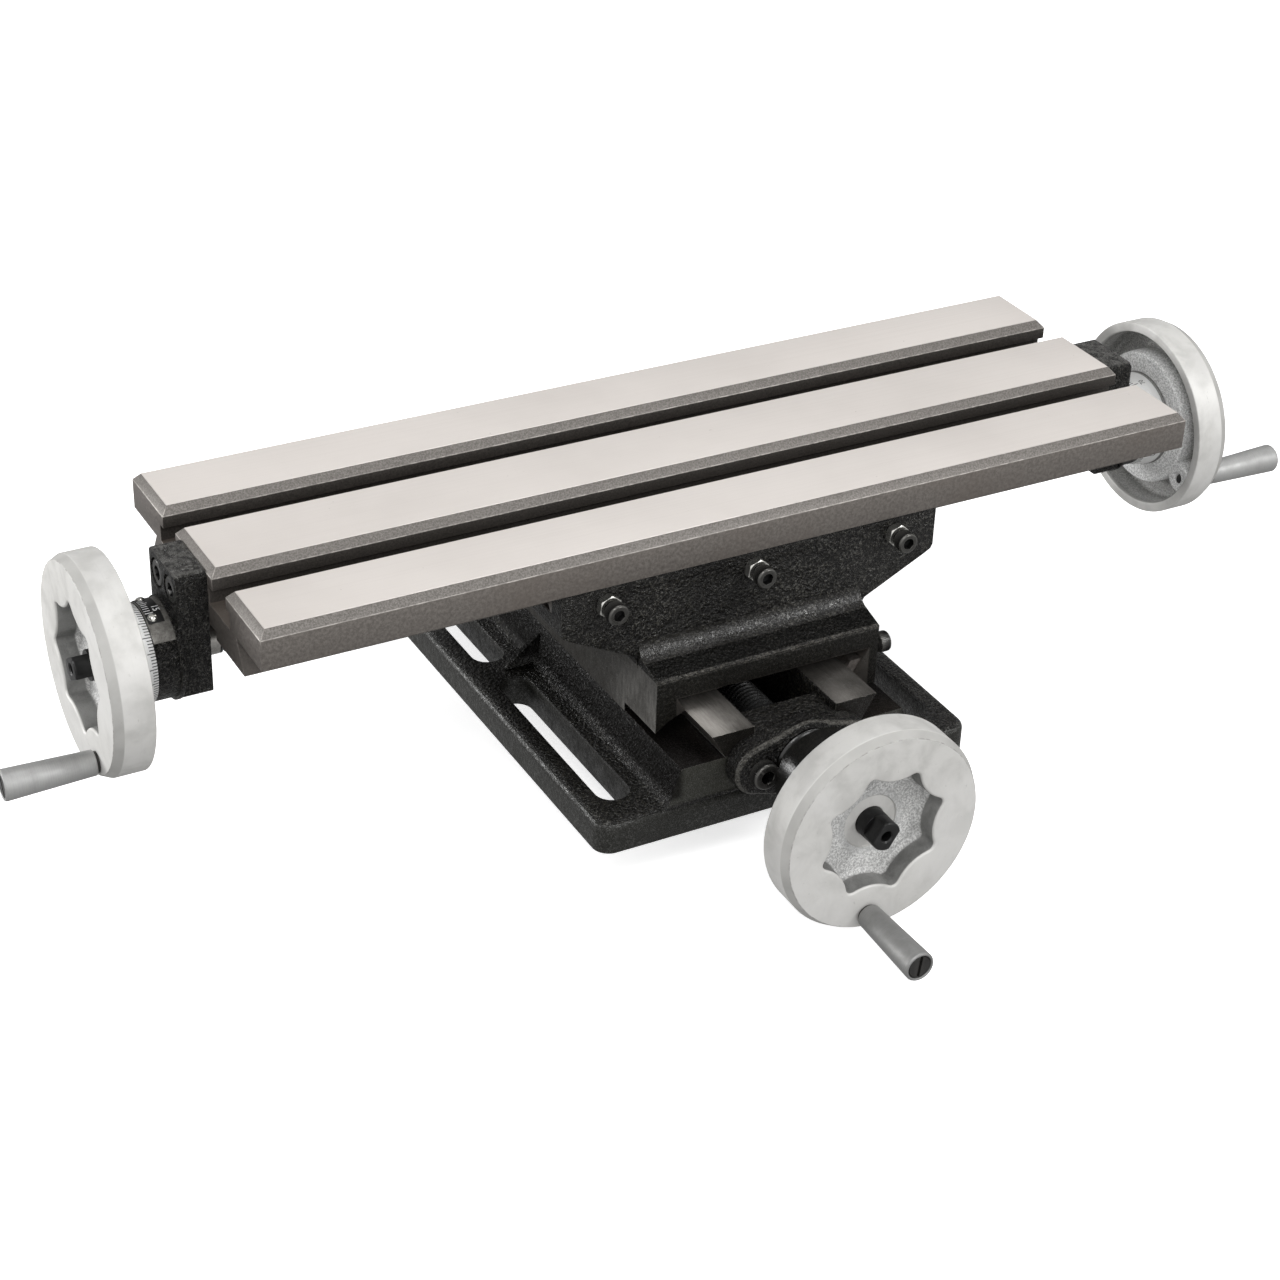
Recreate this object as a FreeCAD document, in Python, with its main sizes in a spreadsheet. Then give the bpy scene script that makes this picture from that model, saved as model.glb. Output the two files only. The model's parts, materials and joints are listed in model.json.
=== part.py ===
import FreeCAD, Part
import Sketcher
import math
import os

# Cross slide table: a compound milling table. A base casting with a male dovetail along Y carries a
# saddle, the saddle carries a slotted table along X, and each slide is driven by a leadscrew with
# handwheels. Frame: +Z up, +X along the table, +Y towards the back, origin at the centre of the
# base's bottom face. The rest pose has the saddle 21 mm forward of the base's centre.

V = FreeCAD.Vector
doc = FreeCAD.newDocument("cross_slide_table")
sheet = doc.addObject("Spreadsheet::Sheet", "dims")
sheet_row = [1]


class Dim:
    """A size: its number and the expression that gives it from the sheet's cells."""

    def __init__(self, v, t):
        self.v = float(v)
        self.t = t

    @staticmethod
    def of(o):
        return o if isinstance(o, Dim) else Dim(o, "%.6f" % float(o) if o >= 0 else "(0 - %.6f)" % -float(o))

    def __add__(self, o):
        o = Dim.of(o)
        return Dim(self.v + o.v, "(%s + %s)" % (self.t, o.t))

    def __radd__(self, o):
        return Dim.of(o) + self

    def __sub__(self, o):
        o = Dim.of(o)
        return Dim(self.v - o.v, "(%s - %s)" % (self.t, o.t))

    def __rsub__(self, o):
        return Dim.of(o) - self

    def __mul__(self, o):
        o = Dim.of(o)
        return Dim(self.v * o.v, "(%s * %s)" % (self.t, o.t))

    def __rmul__(self, o):
        return Dim.of(o) * self

    def __truediv__(self, o):
        o = Dim.of(o)
        return Dim(self.v / o.v, "(%s / %s)" % (self.t, o.t))

    def __neg__(self):
        return Dim(-self.v, "(0 - %s)" % self.t)


def dim(alias, value, note=""):
    r = sheet_row[0]
    sheet_row[0] += 1
    sheet.set("A%d" % r, note or alias.replace("_", " "))
    sheet.set("B%d" % r, "%.6f" % value)
    sheet.setAlias("B%d" % r, alias)
    return Dim(value, "dims." + alias)


# ---------------------------------------------------------------- driving dimensions, millimetres
tan30 = dim("dovetail_slope", math.tan(math.radians(30)), "run over rise of the 60 degree dovetails")
gap = dim("slide_gap", 0.06, "running gap on each dovetail face")
rest_y = dim("saddle_rest_y", -21.0, "saddle centre in Y at rest")
lead = dim("screw_lead", 2.54, "lead of both screws")

table_len = dim("table_len", 471.0)
table_wid = dim("table_wid", 155.0)
table_top = dim("table_top", 130.0, "height of the table's top face")
slab_thk = dim("slab_thk", 18.2)
chamf_run = dim("chamfer_run", 3.3)
chamf_drop = dim("chamfer_drop", 3.76)
tslot_y = dim("tslot_offset", 30.1)
tslot_half = dim("tslot_throat_half", 8.0)
tslot_lip = dim("tslot_lip", 9.5)
tslot_cav = dim("tslot_cavity_half", 12.0)
tslot_deep = dim("tslot_depth", 17.8)
tdt_neck = dim("table_dovetail_neck", 48.5)
tdt_high = dim("table_dovetail_height", 14.2)
relief_half = dim("table_relief_half", 24.0)
relief_deep = dim("table_relief_depth", 4.0)

long_z = dim("long_screw_height", 84.8)
cross_z = dim("cross_screw_height", 30.4)
thread_rad = dim("thread_radius", 8.0)
journal_rad = dim("journal_radius", 7.0)
sleeve_rad = dim("thrust_sleeve_radius", 8.0)
bush_rad = dim("bush_outer_radius", 10.0)
bush_gap = dim("bush_clearance", 0.05)
nut_gap = dim("nut_clearance", 0.06)

brk_thk = dim("end_bracket_thk", 14.0)
brk_half = dim("end_bracket_half", 16.5)
brk_top = dim("end_bracket_top", 127.0)
brk_bot = dim("end_bracket_bottom", 67.5)
drum_rad = dim("drum_radius", 21.8)
drum_flange = dim("drum_flange_radius", 23.3)
drum_flange_thk = dim("drum_flange_thk", 1.6)
seat_rad = dim("index_seat_radius", 22.35, "machined seat of the index plate on each drum")
index_rad = dim("index_plate_radius", 22.65)
index_wide = dim("index_plate_width", 7.1)
drum_len = dim("drum_len", 11.5, "from the bracket's outer face to the drum's end")
brk_screw_y = dim("end_screw_spacing_half", 8.1)
brk_screw_z = dim("end_screw_height", 117.3)

wheel_rad = dim("wheel_radius", 49.4)
wheel_back = dim("wheel_back_x", 272.1, "wheel's back plane from the table's centre")
wheel_deep = dim("wheel_depth", 18.2)
wheel_cyl = dim("wheel_rim_width", 13.75)
wheel_face = dim("wheel_face_radius", 47.2)
rim_in = dim("rim_inner_radius", 44.6)
cup_rad = dim("cup_radius", 33.7)
cup_back = dim("cup_back", 1.5)
hub_seat = dim("hub_seat_radius", 23.5)
hub_rad = dim("hub_radius", 16.0)
hub_back = dim("hub_back", 10.7)
plate_under = dim("front_plate_under", 13.9)
star_deep = dim("star_depth", 11.0)
star_tip = dim("star_tip_radius", 30.8)
star_off = dim("star_scallop_offset", 47.2)
star_scal = dim("star_scallop_radius", 21.0)
spot_rad = dim("hub_spot_radius", 13.0)
spot_deep = dim("hub_spot_depth", 0.5)
shaft_proud = dim("shaft_proud", 2.4)
flat_len = dim("shaft_flat_len", 7.4)
flat_half = dim("shaft_flat_half", 5.0)
tap_rad = dim("shaft_tap_radius", 2.5)
tap_deep = dim("shaft_tap_depth", 14.0)
dial_len = dim("dial_len", 10.9)
dial_small = dim("dial_small_radius", 22.2)
dial_large = dim("dial_large_radius", 23.8)

crank_rad = dim("crank_radius", 41.0)
grip_small = dim("grip_inner_end_radius", 5.75)
grip_large = dim("grip_outer_end_radius", 7.1)
grip_len = dim("grip_reach", 42.0, "from the wheel's face to the grip's end")
spin_rad = dim("spindle_radius", 3.0)
spin_gap = dim("spindle_clearance", 0.08)
spin_head = dim("spindle_head_radius", 5.45)
spin_head_thk = dim("spindle_head_thk", 2.3)
collar_thk = dim("spindle_collar_thk", 1.0)
collar_rad = dim("spindle_collar_radius", 4.9)

base_half_x = dim("base_half_width", 97.0)
base_half_y = dim("base_half_length", 137.0)
flange_thk = dim("base_flange_thk", 15.5)
base_corner = dim("base_corner_radius", 8.0)
base_edge = dim("base_edge_radius", 4.0)
slot_x = dim("base_slot_x", 79.0)
slot_rad = dim("base_slot_radius", 8.25)
slot_near = dim("base_slot_near", 8.0)
slot_far = dim("base_slot_far", 120.5)
way_z = dim("way_height", 35.0)
way_half = dim("way_half_width", 57.5)
side_foot = dim("side_foot_half", 62.5)
rail_top = dim("rail_top_height", 47.4)
rail_foot = dim("rail_foot_half", 35.5)
rail_in = dim("rail_inner_half", 21.0)
lip_top = dim("lip_height", 43.5)
lip_thk = dim("lip_thk", 17.6)
chan_floor = dim("channel_floor", 12.0)
rib_half = dim("rib_half_thk", 1.3)
rib_foot = dim("rib_foot_x", 78.5)
rib_high = dim("rib_top_z", 31.5)
under_deep = dim("underside_pocket_depth", 24.0)
under_in = dim("underside_pocket_inner_x", 28.0)
under_out = dim("underside_pocket_outer_x", 54.0)
under_y = dim("underside_pocket_y", 127.0)

fb_thk = dim("cross_flange_thk", 11.0)
fb_ear_x = dim("cross_flange_ear_x", 23.0)
fb_ear_rad = dim("cross_flange_ear_radius", 12.5)
fb_mid_rad = dim("cross_flange_mid_radius", 19.0)
fb_tx = dim("cross_flange_tangent_mid_x", 5.37)
fb_tz = dim("cross_flange_tangent_mid_z", 18.22)
fb_ex = dim("cross_flange_tangent_ear_x", 26.53)
fb_ez = dim("cross_flange_tangent_ear_z", 11.99)
neck_rad = dim("cross_neck_radius", 15.5)
neck_len = dim("cross_neck_len", 9.0)
fdrum_len = dim("cross_drum_len", 26.0)
fcol_rad = dim("cross_collar_radius", 12.0)
fcol_room = dim("cross_collar_recess_radius", 12.6)
fcol_deep = dim("cross_collar_recess_depth", 8.0)

sad_half_x = dim("saddle_half_length", 96.5)
sad_half_y = dim("saddle_half_width", 74.0)
sad_top = dim("saddle_top", 111.7)
sad_end_z = dim("saddle_end_bottom", 88.0)
sad_slope_x = dim("saddle_slope_x", 62.0)
sad_slope_z = dim("saddle_slope_z", 71.5)
low_half_x = dim("lower_half_width", 58.0)
low_half_y = dim("lower_half_length", 92.0)
ledge_hi = dim("ledge_high", 71.0)
ledge_lo = dim("ledge_low", 66.0)
under_roof = dim("saddle_slot_roof", 55.0)
gib_thk = dim("gib_thk", 6.0, "measured across the slide")
groove_half = dim("saddle_groove_half", 18.5)
groove_floor = dim("saddle_groove_floor", 70.0)
seat_z = dim("table_slot_floor", 97.2)

m_head = dim("gib_screw_head_radius", 5.0)
m_head_thk = dim("gib_screw_head_thk", 5.5)
m_shank = dim("gib_screw_radius", 3.0)
m_nut_af = dim("gib_nut_across_flats", 10.0)
m_nut_thk = dim("gib_nut_thk", 4.2)
gib_pitch = dim("gib_screw_pitch", 74.5)
tgib_z = dim("table_gib_screw_z", 101.5)
xgib_z = dim("cross_gib_screw_z", 44.0)
b_head = dim("bracket_screw_head_radius", 6.5)
b_shank = dim("bracket_screw_radius", 4.0)

doc.recompute()

# ---------------------------------------------------------------- helpers
checks = []
nodes = []
ROT = {
    "z": FreeCAD.Rotation(),
    "-z": FreeCAD.Rotation(V(1, 0, 0), 180),
    "x": FreeCAD.Rotation(V(0, 1, 0), 90),
    "-x": FreeCAD.Rotation(V(0, 1, 0), -90),
    "y": FreeCAD.Rotation(V(1, 0, 0), -90),
    "-y": FreeCAD.Rotation(V(1, 0, 0), 90),
}


def bind(obj, prop, d):
    if isinstance(d, Dim):
        setattr(obj, prop, d.v)
        obj.setExpression(prop, d.t)
    else:
        setattr(obj, prop, d)
    return obj


def place(obj, pos=(0, 0, 0), rot="z"):
    r = ROT[rot] if isinstance(rot, str) else rot
    p = [Dim.of(c) for c in pos]
    obj.Placement = FreeCAD.Placement(V(p[0].v, p[1].v, p[2].v), r)
    for ax, c, raw in zip("xyz", p, pos):
        if isinstance(raw, Dim):
            obj.setExpression(".Placement.Base." + ax, c.t)
    return obj


def cyl(name, r, length, pos=(0, 0, 0), rot="z"):
    o = doc.addObject("Part::Cylinder", name)
    bind(o, "Radius", r)
    bind(o, "Height", length)
    return place(o, pos, rot)


def cone(name, r1, r2, length, pos=(0, 0, 0), rot="z"):
    o = doc.addObject("Part::Cone", name)
    bind(o, "Radius1", r1)
    bind(o, "Radius2", r2)
    bind(o, "Height", length)
    return place(o, pos, rot)


def box(name, lx, ly, lz, pos=(0, 0, 0), rot="z"):
    o = doc.addObject("Part::Box", name)
    bind(o, "Length", lx)
    bind(o, "Width", ly)
    bind(o, "Height", lz)
    return place(o, pos, rot)


def hexa(name, across, length, pos=(0, 0, 0), rot="z"):
    o = doc.addObject("Part::Prism", name)
    o.Polygon = 6
    bind(o, "Circumradius", Dim.of(across) * (1 / math.sqrt(3)))
    bind(o, "Height", length)
    return place(o, pos, rot)


def fuse(name, *objs):
    o = doc.addObject("Part::MultiFuse", name)
    o.Shapes = list(objs)
    return o


def cut(name, base, *tools):
    o = doc.addObject("Part::Cut", name)
    o.Base = base
    o.Tool = tools[0] if len(tools) == 1 else fuse(name + "_tools", *tools)
    return o


def group(name, *objs):
    o = doc.addObject("Part::Compound", name)
    o.Links = list(objs)
    return o


def node(obj, label):
    obj.Label = label
    nodes.append((label, obj))
    return obj


def plane(body, role):
    return [f for f in body.Origin.OriginFeatures if f.Role == role][0]


def sketch(body, name, role, offset=0):
    sk = body.newObject("Sketcher::SketchObject", name)
    sk.AttachmentSupport = [(plane(body, role), "")]
    sk.MapMode = "FlatFace"
    off = Dim.of(offset)
    sk.AttachmentOffset = FreeCAD.Placement(V(0, 0, off.v), FreeCAD.Rotation())
    if isinstance(offset, Dim):
        sk.setExpression(".AttachmentOffset.Base.z", off.t)
    return sk


def pin_point(sk, geo, end, x, y):
    for kind, c in (("DistanceX", x), ("DistanceY", y)):
        k = sk.addConstraint(Sketcher.Constraint(kind, -1, 1, geo, end, Dim.of(c).v))
        if isinstance(c, Dim):
            sk.setExpression("Constraints[%d]" % k, c.t)


def poly(sk, pts):
    base = len(sk.Geometry)
    n = len(pts)
    num = [(Dim.of(a).v, Dim.of(b).v) for a, b in pts]
    for i in range(n):
        a, b = num[i], num[(i + 1) % n]
        sk.addGeometry(Part.LineSegment(V(a[0], a[1], 0), V(b[0], b[1], 0)), False)
    for i in range(n):
        sk.addConstraint(Sketcher.Constraint("Coincident", base + i, 2, base + (i + 1) % n, 1))
    for i in range(n):
        pin_point(sk, base + i, 1, pts[i][0], pts[i][1])
    return sk


def circle(sk, x, y, r):
    g = sk.addGeometry(Part.Circle(V(Dim.of(x).v, Dim.of(y).v, 0), V(0, 0, 1), Dim.of(r).v), False)
    pin_point(sk, g, 3, x, y)
    k = sk.addConstraint(Sketcher.Constraint("Radius", g, Dim.of(r).v))
    if isinstance(r, Dim):
        sk.setExpression("Constraints[%d]" % k, r.t)
    return sk


def sector(sk, x, y, r0, r1, a0, a1):
    """An annular sector about (x, y) from radius r0 to r1, between two angles in degrees."""
    xv, yv, ra, rb = (Dim.of(c).v for c in (x, y, r0, r1))
    s, e = math.radians(a0), math.radians(a1)
    at = lambda r, t: V(xv + r * math.cos(t), yv + r * math.sin(t), 0)
    far = sk.addGeometry(Part.ArcOfCircle(Part.Circle(V(xv, yv, 0), V(0, 0, 1), rb), s, e), False)
    near = sk.addGeometry(Part.ArcOfCircle(Part.Circle(V(xv, yv, 0), V(0, 0, 1), ra), s, e), False)
    one = sk.addGeometry(Part.LineSegment(at(rb, e), at(ra, e)), False)
    two = sk.addGeometry(Part.LineSegment(at(ra, s), at(rb, s)), False)
    sk.addConstraint(Sketcher.Constraint("Coincident", far, 2, one, 1))
    sk.addConstraint(Sketcher.Constraint("Coincident", one, 2, near, 2))
    sk.addConstraint(Sketcher.Constraint("Coincident", near, 1, two, 1))
    sk.addConstraint(Sketcher.Constraint("Coincident", two, 2, far, 1))
    pin_point(sk, far, 3, x, y)
    sk.addConstraint(Sketcher.Constraint("Coincident", far, 3, near, 3))
    for g, r in ((far, r1), (near, r0)):
        k = sk.addConstraint(Sketcher.Constraint("Radius", g, Dim.of(r).v))
        if isinstance(r, Dim):
            sk.setExpression("Constraints[%d]" % k, r.t)
    for g, r in ((far, rb), (near, ra)):
        for end, t in ((1, s), (2, e)):
            sk.addConstraint(Sketcher.Constraint("DistanceX", -1, 1, g, end, xv + r * math.cos(t)))
    return sk


def slot_y(sk, x, y1, y2, r):
    """A slot that runs along the sketch's Y, with its arc centres at y1 and y2."""
    xv, a, b, rv = (Dim.of(c).v for c in (x, y1, y2, r))
    up = sk.addGeometry(Part.ArcOfCircle(Part.Circle(V(xv, b, 0), V(0, 0, 1), rv), 0, math.pi), False)
    left = sk.addGeometry(Part.LineSegment(V(xv - rv, b, 0), V(xv - rv, a, 0)), False)
    low = sk.addGeometry(Part.ArcOfCircle(Part.Circle(V(xv, a, 0), V(0, 0, 1), rv), math.pi, 2 * math.pi), False)
    right = sk.addGeometry(Part.LineSegment(V(xv + rv, a, 0), V(xv + rv, b, 0)), False)
    sk.addConstraint(Sketcher.Constraint("Tangent", up, 2, left, 1))
    sk.addConstraint(Sketcher.Constraint("Tangent", left, 2, low, 1))
    sk.addConstraint(Sketcher.Constraint("Tangent", low, 2, right, 1))
    sk.addConstraint(Sketcher.Constraint("Tangent", right, 2, up, 1))
    pin_point(sk, up, 3, x, y2)
    pin_point(sk, low, 3, x, y1)
    k = sk.addConstraint(Sketcher.Constraint("Radius", up, rv))
    if isinstance(r, Dim):
        sk.setExpression("Constraints[%d]" % k, r.t)
    return sk


def pad(body, sk, length, name, reverse=False):
    f = body.newObject("PartDesign::Pad", name)
    f.Profile = sk
    f.Reversed = reverse
    bind(f, "Length", length)
    doc.recompute()
    return f


def pocket(body, sk, length, name, reverse=False):
    before = body.Shape.Volume
    f = body.newObject("PartDesign::Pocket", name)
    f.Profile = sk
    f.Reversed = reverse
    bind(f, "Length", length)
    doc.recompute()
    checks.append((name, before, body.Shape.Volume))
    if not body.Shape.Volume < before - 0.5:
        raise RuntimeError("%s cuts nothing: %.3f to %.3f" % (name, before, body.Shape.Volume))
    return f


def picked(shape, test):
    out = []
    for i, e in enumerate(shape.Edges):
        if test(e):
            out.append("Edge%d" % (i + 1))
    return out


def vertical(e):
    d = e.BoundBox
    return d.ZLength > 0.5 and d.XLength < 1e-3 and d.YLength < 1e-3


def fillet(body, feature, names, r, name):
    f = body.newObject("PartDesign::Fillet", name)
    f.Base = (feature, names)
    bind(f, "Radius", r)
    doc.recompute()
    return f


def cap_screw(name, head_r, head_len, shank_r, shank_len, socket_af, socket_deep, pos, rot):
    """A socket cap screw: its head stands on the local +Z side of its seat at the local origin."""
    head = cyl(name + "_head", head_r, head_len)
    shank = cyl(name + "_shank", shank_r, shank_len, (0, 0, -Dim.of(shank_len)))
    sock = hexa(name + "_socket", socket_af, Dim.of(socket_deep) + 1, (0, 0, Dim.of(head_len) - socket_deep))
    return place(cut(name, fuse(name + "_blank", head, shank), sock), pos, rot)


def hex_nut(name, across, thick, bore, pos, rot):
    """A hexagon nut with both corner rims turned away at thirty degrees."""
    a, t, b = Dim.of(across), Dim.of(thick), Dim.of(bore)
    blank = hexa(name + "_hex", a, t)
    low = cone(name + "_low", a * 0.5 - 0.15, a * 0.5 - 0.15 + t * 0.5 * 1.732, t * 0.5)
    high = cone(name + "_high", a * 0.5 - 0.15 + t * 0.5 * 1.732, a * 0.5 - 0.15, t * 0.5, (0, 0, t * 0.5))
    shape = doc.addObject("Part::Common", name + "_form")
    shape.Base = blank
    shape.Tool = fuse(name + "_cones", low, high)
    hole = cyl(name + "_hole", b, t + 2, (0, 0, -1))
    return place(cut(name, shape, hole), pos, rot)


# ================================================================ table casting
half_len = table_len / 2
half_wid = table_wid / 2
slab_z = table_top - slab_thk
tdt_z = slab_z - tdt_high
tdt_foot = tdt_neck + tdt_high * tan30
t_cy = rest_y

tb = doc.addObject("PartDesign::Body", "TableCasting")
prof = [
    (-tdt_foot, tdt_z),
    (-relief_half, tdt_z),
    (-relief_half, tdt_z + relief_deep),
    (relief_half, tdt_z + relief_deep),
    (relief_half, tdt_z),
    (tdt_foot, tdt_z),
    (tdt_neck, slab_z),
    (half_wid, slab_z),
    (half_wid, table_top - chamf_drop),
    (half_wid - chamf_run, table_top),
]
for side in (1, -1):
    outer = tslot_y + tslot_half
    inner = tslot_y - tslot_half
    run = [
        (outer + chamf_run, table_top),
        (outer, table_top - chamf_drop),
        (outer, table_top - tslot_lip),
        (tslot_y + tslot_cav, table_top - tslot_lip),
        (tslot_y + tslot_cav, table_top - tslot_deep),
        (tslot_y - tslot_cav, table_top - tslot_deep),
        (tslot_y - tslot_cav, table_top - tslot_lip),
        (inner, table_top - tslot_lip),
        (inner, table_top - chamf_drop),
        (inner - chamf_run, table_top),
    ]
    if side > 0:
        prof += run
    else:
        prof += [(-y, z) for y, z in reversed(run)]
prof += [
    (-(half_wid - chamf_run), table_top),
    (-half_wid, table_top - chamf_drop),
    (-half_wid, slab_z),
    (-tdt_neck, slab_z),
]
sk = poly(sketch(tb, "table_section", "YZ_Plane", -half_len), prof)
table_pad = pad(tb, sk, table_len, "table_bar")
for side, tag in ((1, "right"), (-1, "left")):
    k = chamf_drop / chamf_run
    e = [
        (half_len + 1, table_top - chamf_drop - k),
        (half_len + 1, table_top + 1),
        (half_len - chamf_run - Dim.of(1) / k, table_top + 1),
    ]
    if side < 0:
        e = [(-x, z) for x, z in e]
    sk = poly(sketch(tb, "end_chamfer_%s_section" % tag, "XZ_Plane", half_wid + 1), e)
    pocket(tb, sk, table_wid + 2, "end_chamfer_%s" % tag)
for side, tag in ((1, "right"), (-1, "left")):
    sk = sketch(tb, "end_tapping_%s_section" % tag, "YZ_Plane", half_len * side)
    circle(sk, -brk_screw_y, brk_screw_z, b_shank)
    circle(sk, brk_screw_y, brk_screw_z, b_shank)
    pocket(tb, sk, 24, "end_tapping_%s" % tag, reverse=side < 0)
place(tb, (0, t_cy, 0))
node(tb, "table_casting")

# ================================================================ end brackets, bushes, plates
brk_out = half_len + brk_thk
for side, tag, ax in ((-1, "left", "-x"), (1, "right", "x")):
    b = doc.addObject("PartDesign::Body", "EndBracket_" + tag)
    # local frame of the bracket: its own X is outward, so the left one is turned half a turn about Z
    sk = poly(
        sketch(b, tag + "_plate_section", "YZ_Plane", half_len),
        [
            (-brk_half, brk_bot + 1),
            (-brk_half + 1, brk_bot),
            (brk_half - 1, brk_bot),
            (brk_half, brk_bot + 1),
            (brk_half, brk_top - 2),
            (brk_half - 2, brk_top),
            (-brk_half + 2, brk_top),
            (-brk_half, brk_top - 2),
        ],
    )
    pad(b, sk, brk_thk, tag + "_plate")
    sk = circle(sketch(b, tag + "_drum_section", "YZ_Plane", brk_out), 0, long_z, drum_rad)
    pad(b, sk, drum_len, tag + "_drum")
    sk = circle(sketch(b, tag + "_drum_flange_section", "YZ_Plane", brk_out), 0, long_z, drum_flange)
    pad(b, sk, drum_flange_thk, tag + "_drum_flange")
    sk = sector(sketch(b, tag + "_index_seat_section", "YZ_Plane", brk_out), 0, long_z, drum_rad - 1.2, seat_rad, 38.0, 142.0)
    pad(b, sk, drum_len, tag + "_index_seat")
    sk = circle(sketch(b, tag + "_bush_seat_section", "YZ_Plane", brk_out + drum_len), 0, long_z, bush_rad)
    pocket(b, sk, brk_thk + drum_len, tag + "_bush_seat")
    sk = sketch(b, tag + "_screw_hole_section", "YZ_Plane", brk_out)
    circle(sk, -brk_screw_y, brk_screw_z, b_shank + 0.2)
    circle(sk, brk_screw_y, brk_screw_z, b_shank + 0.2)
    pocket(b, sk, brk_thk, tag + "_screw_hole")
    sk = sketch(b, tag + "_counterbore_section", "YZ_Plane", brk_out)
    circle(sk, -brk_screw_y, brk_screw_z, b_head + 0.4)
    circle(sk, brk_screw_y, brk_screw_z, b_head + 0.4)
    pocket(b, sk, 8.2, tag + "_counterbore")
    place(b, (0, t_cy, 0), "z" if side > 0 else FreeCAD.Rotation(V(0, 0, 1), 180))
    node(b, tag + "_end_bracket")

    bush = cut(
        tag + "_bush",
        cyl(tag + "_bush_outer", bush_rad, brk_thk + drum_len - 0.3),
        cyl(tag + "_bush_bore", journal_rad + bush_gap, brk_thk + drum_len + 2, (0, 0, -1)),
    )
    place(bush, (half_len * side, t_cy, long_z), ax)
    node(bush, tag + "_bushing")

    # thin curved index plate over the drum's top, with two small domed screws
    face_x = brk_out + drum_len - 0.6 - index_wide
    start, sweep = 61.5, 57.0
    outer = cyl(tag + "_index_outer", index_rad, index_wide)
    outer.Angle = sweep
    inner = cyl(tag + "_index_inner", seat_rad + 0.01, index_wide + 2, (0, 0, -1))
    plate = cut(tag + "_index", outer, inner)
    # angles are in the YZ plane from +Y towards +Z: 61.5 to 118.5 degrees
    if side > 0:
        rot = FreeCAD.Rotation(V(0, math.cos(math.radians(start)), math.sin(math.radians(start))), V(0, 0, 0), V(1, 0, 0), "ZXY")
    else:
        a = math.radians(start + sweep)
        rot = FreeCAD.Rotation(V(0, math.cos(a), math.sin(a)), V(0, 0, 0), V(-1, 0, 0), "ZXY")
    place(plate, (face_x * side, t_cy, long_z), rot)
    node(plate, tag + "_index_plate")
    heads = []
    for i, ang in enumerate((69.0, 111.0)):
        a = math.radians(ang)
        out = V(0, math.cos(a), math.sin(a))
        r = FreeCAD.Rotation(V(1, 0, 0), V(0, 0, 0), out, "ZXY")
        head = doc.addObject("Part::Sphere", "%s_dome_%d" % (tag, i))
        head.Radius = 2.6
        head.Angle1 = 30
        head.Angle2 = 90
        place(head, (0, 0, -1.3))
        slot = box("%s_dome_slot_%d" % (tag, i), 6, 0.6, 1, (-3, -0.3, 0.75))
        s = cut("%s_index_screw_%d" % (tag, i), head, slot)
        rad = index_rad.v
        place(s, ((brk_out.v + 8.2) * side, t_cy.v + rad * out.y, long_z.v + rad * out.z), r)
        heads.append(s)
    node(group(tag + "_index_screws_group", *heads), tag + "_index_screws")

end_screws = []
for side, tag, ax in ((-1, "left", "-x"), (1, "right", "x")):
    for i, s in enumerate((-1, 1)):
        end_screws.append(
            cap_screw(
                "end_screw_%s_%d" % (tag, i), b_head, 8, b_shank, 27, 6, 4,
                ((brk_out - 8.2) * side, t_cy + brk_screw_y * s, brk_screw_z), ax,
            )
        )
node(group("end_screw_group", *end_screws), "end_bracket_screws")

# ================================================================ long leadscrew and its pieces
thread_end = half_len - 7.5
shaft_end = wheel_back + wheel_deep + shaft_proud


def shaft_cuts(tag, length_from, rot_deg):
    """Two flats and a tapped hole at the local +Z end, whose face is at length_from."""
    out = []
    for i, s in enumerate((-1, 1)):
        b = box("%s_flat_%d" % (tag, i), 20, 6, flat_len + 1, (-10, flat_half if s > 0 else -flat_half - 6, length_from - flat_len))
        out.append(b)
    out.append(cyl(tag + "_tapping", tap_rad, tap_deep + 1, (0, 0, length_from - tap_deep)))
    return out


ls = cut(
    "LongScrew",
    fuse(
        "long_screw_blank",
        cyl("long_thread", thread_rad, thread_end * 2, (0, 0, -thread_end)),
        cyl("long_journal", journal_rad, shaft_end * 2, (0, 0, -shaft_end)),
    ),
    *(
        shaft_cuts("long_plus", shaft_end, 0)
        + [place(fuse("long_minus_cuts", *shaft_cuts("long_minus", shaft_end, 0)), (0, 0, 0), FreeCAD.Rotation(V(1, 0, 0), 180))]
    ),
)
place(ls, (0, t_cy, long_z), FreeCAD.Rotation(V(0, math.sin(math.radians(58)), -math.cos(math.radians(58))), V(0, 0, 0), V(1, 0, 0), "ZXY"))
node(ls, "long_leadscrew")

# plain sleeves that fill the room between the thread's shoulders and the bushings
sleeves = []
for side, tag, ax in ((-1, "left", "-x"), (1, "right", "x")):
    ring = cut(
        tag + "_sleeve",
        cyl(tag + "_sleeve_outer", sleeve_rad, 7.1),
        cyl(tag + "_sleeve_bore", journal_rad, 9, (0, 0, -1)),
    )
    place(ring, ((thread_end + 0.2) * side, t_cy, long_z), ax)
    sleeves.append(ring)
node(group("thrust_sleeve_group", *sleeves), "leadscrew_thrust_sleeves")


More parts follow.
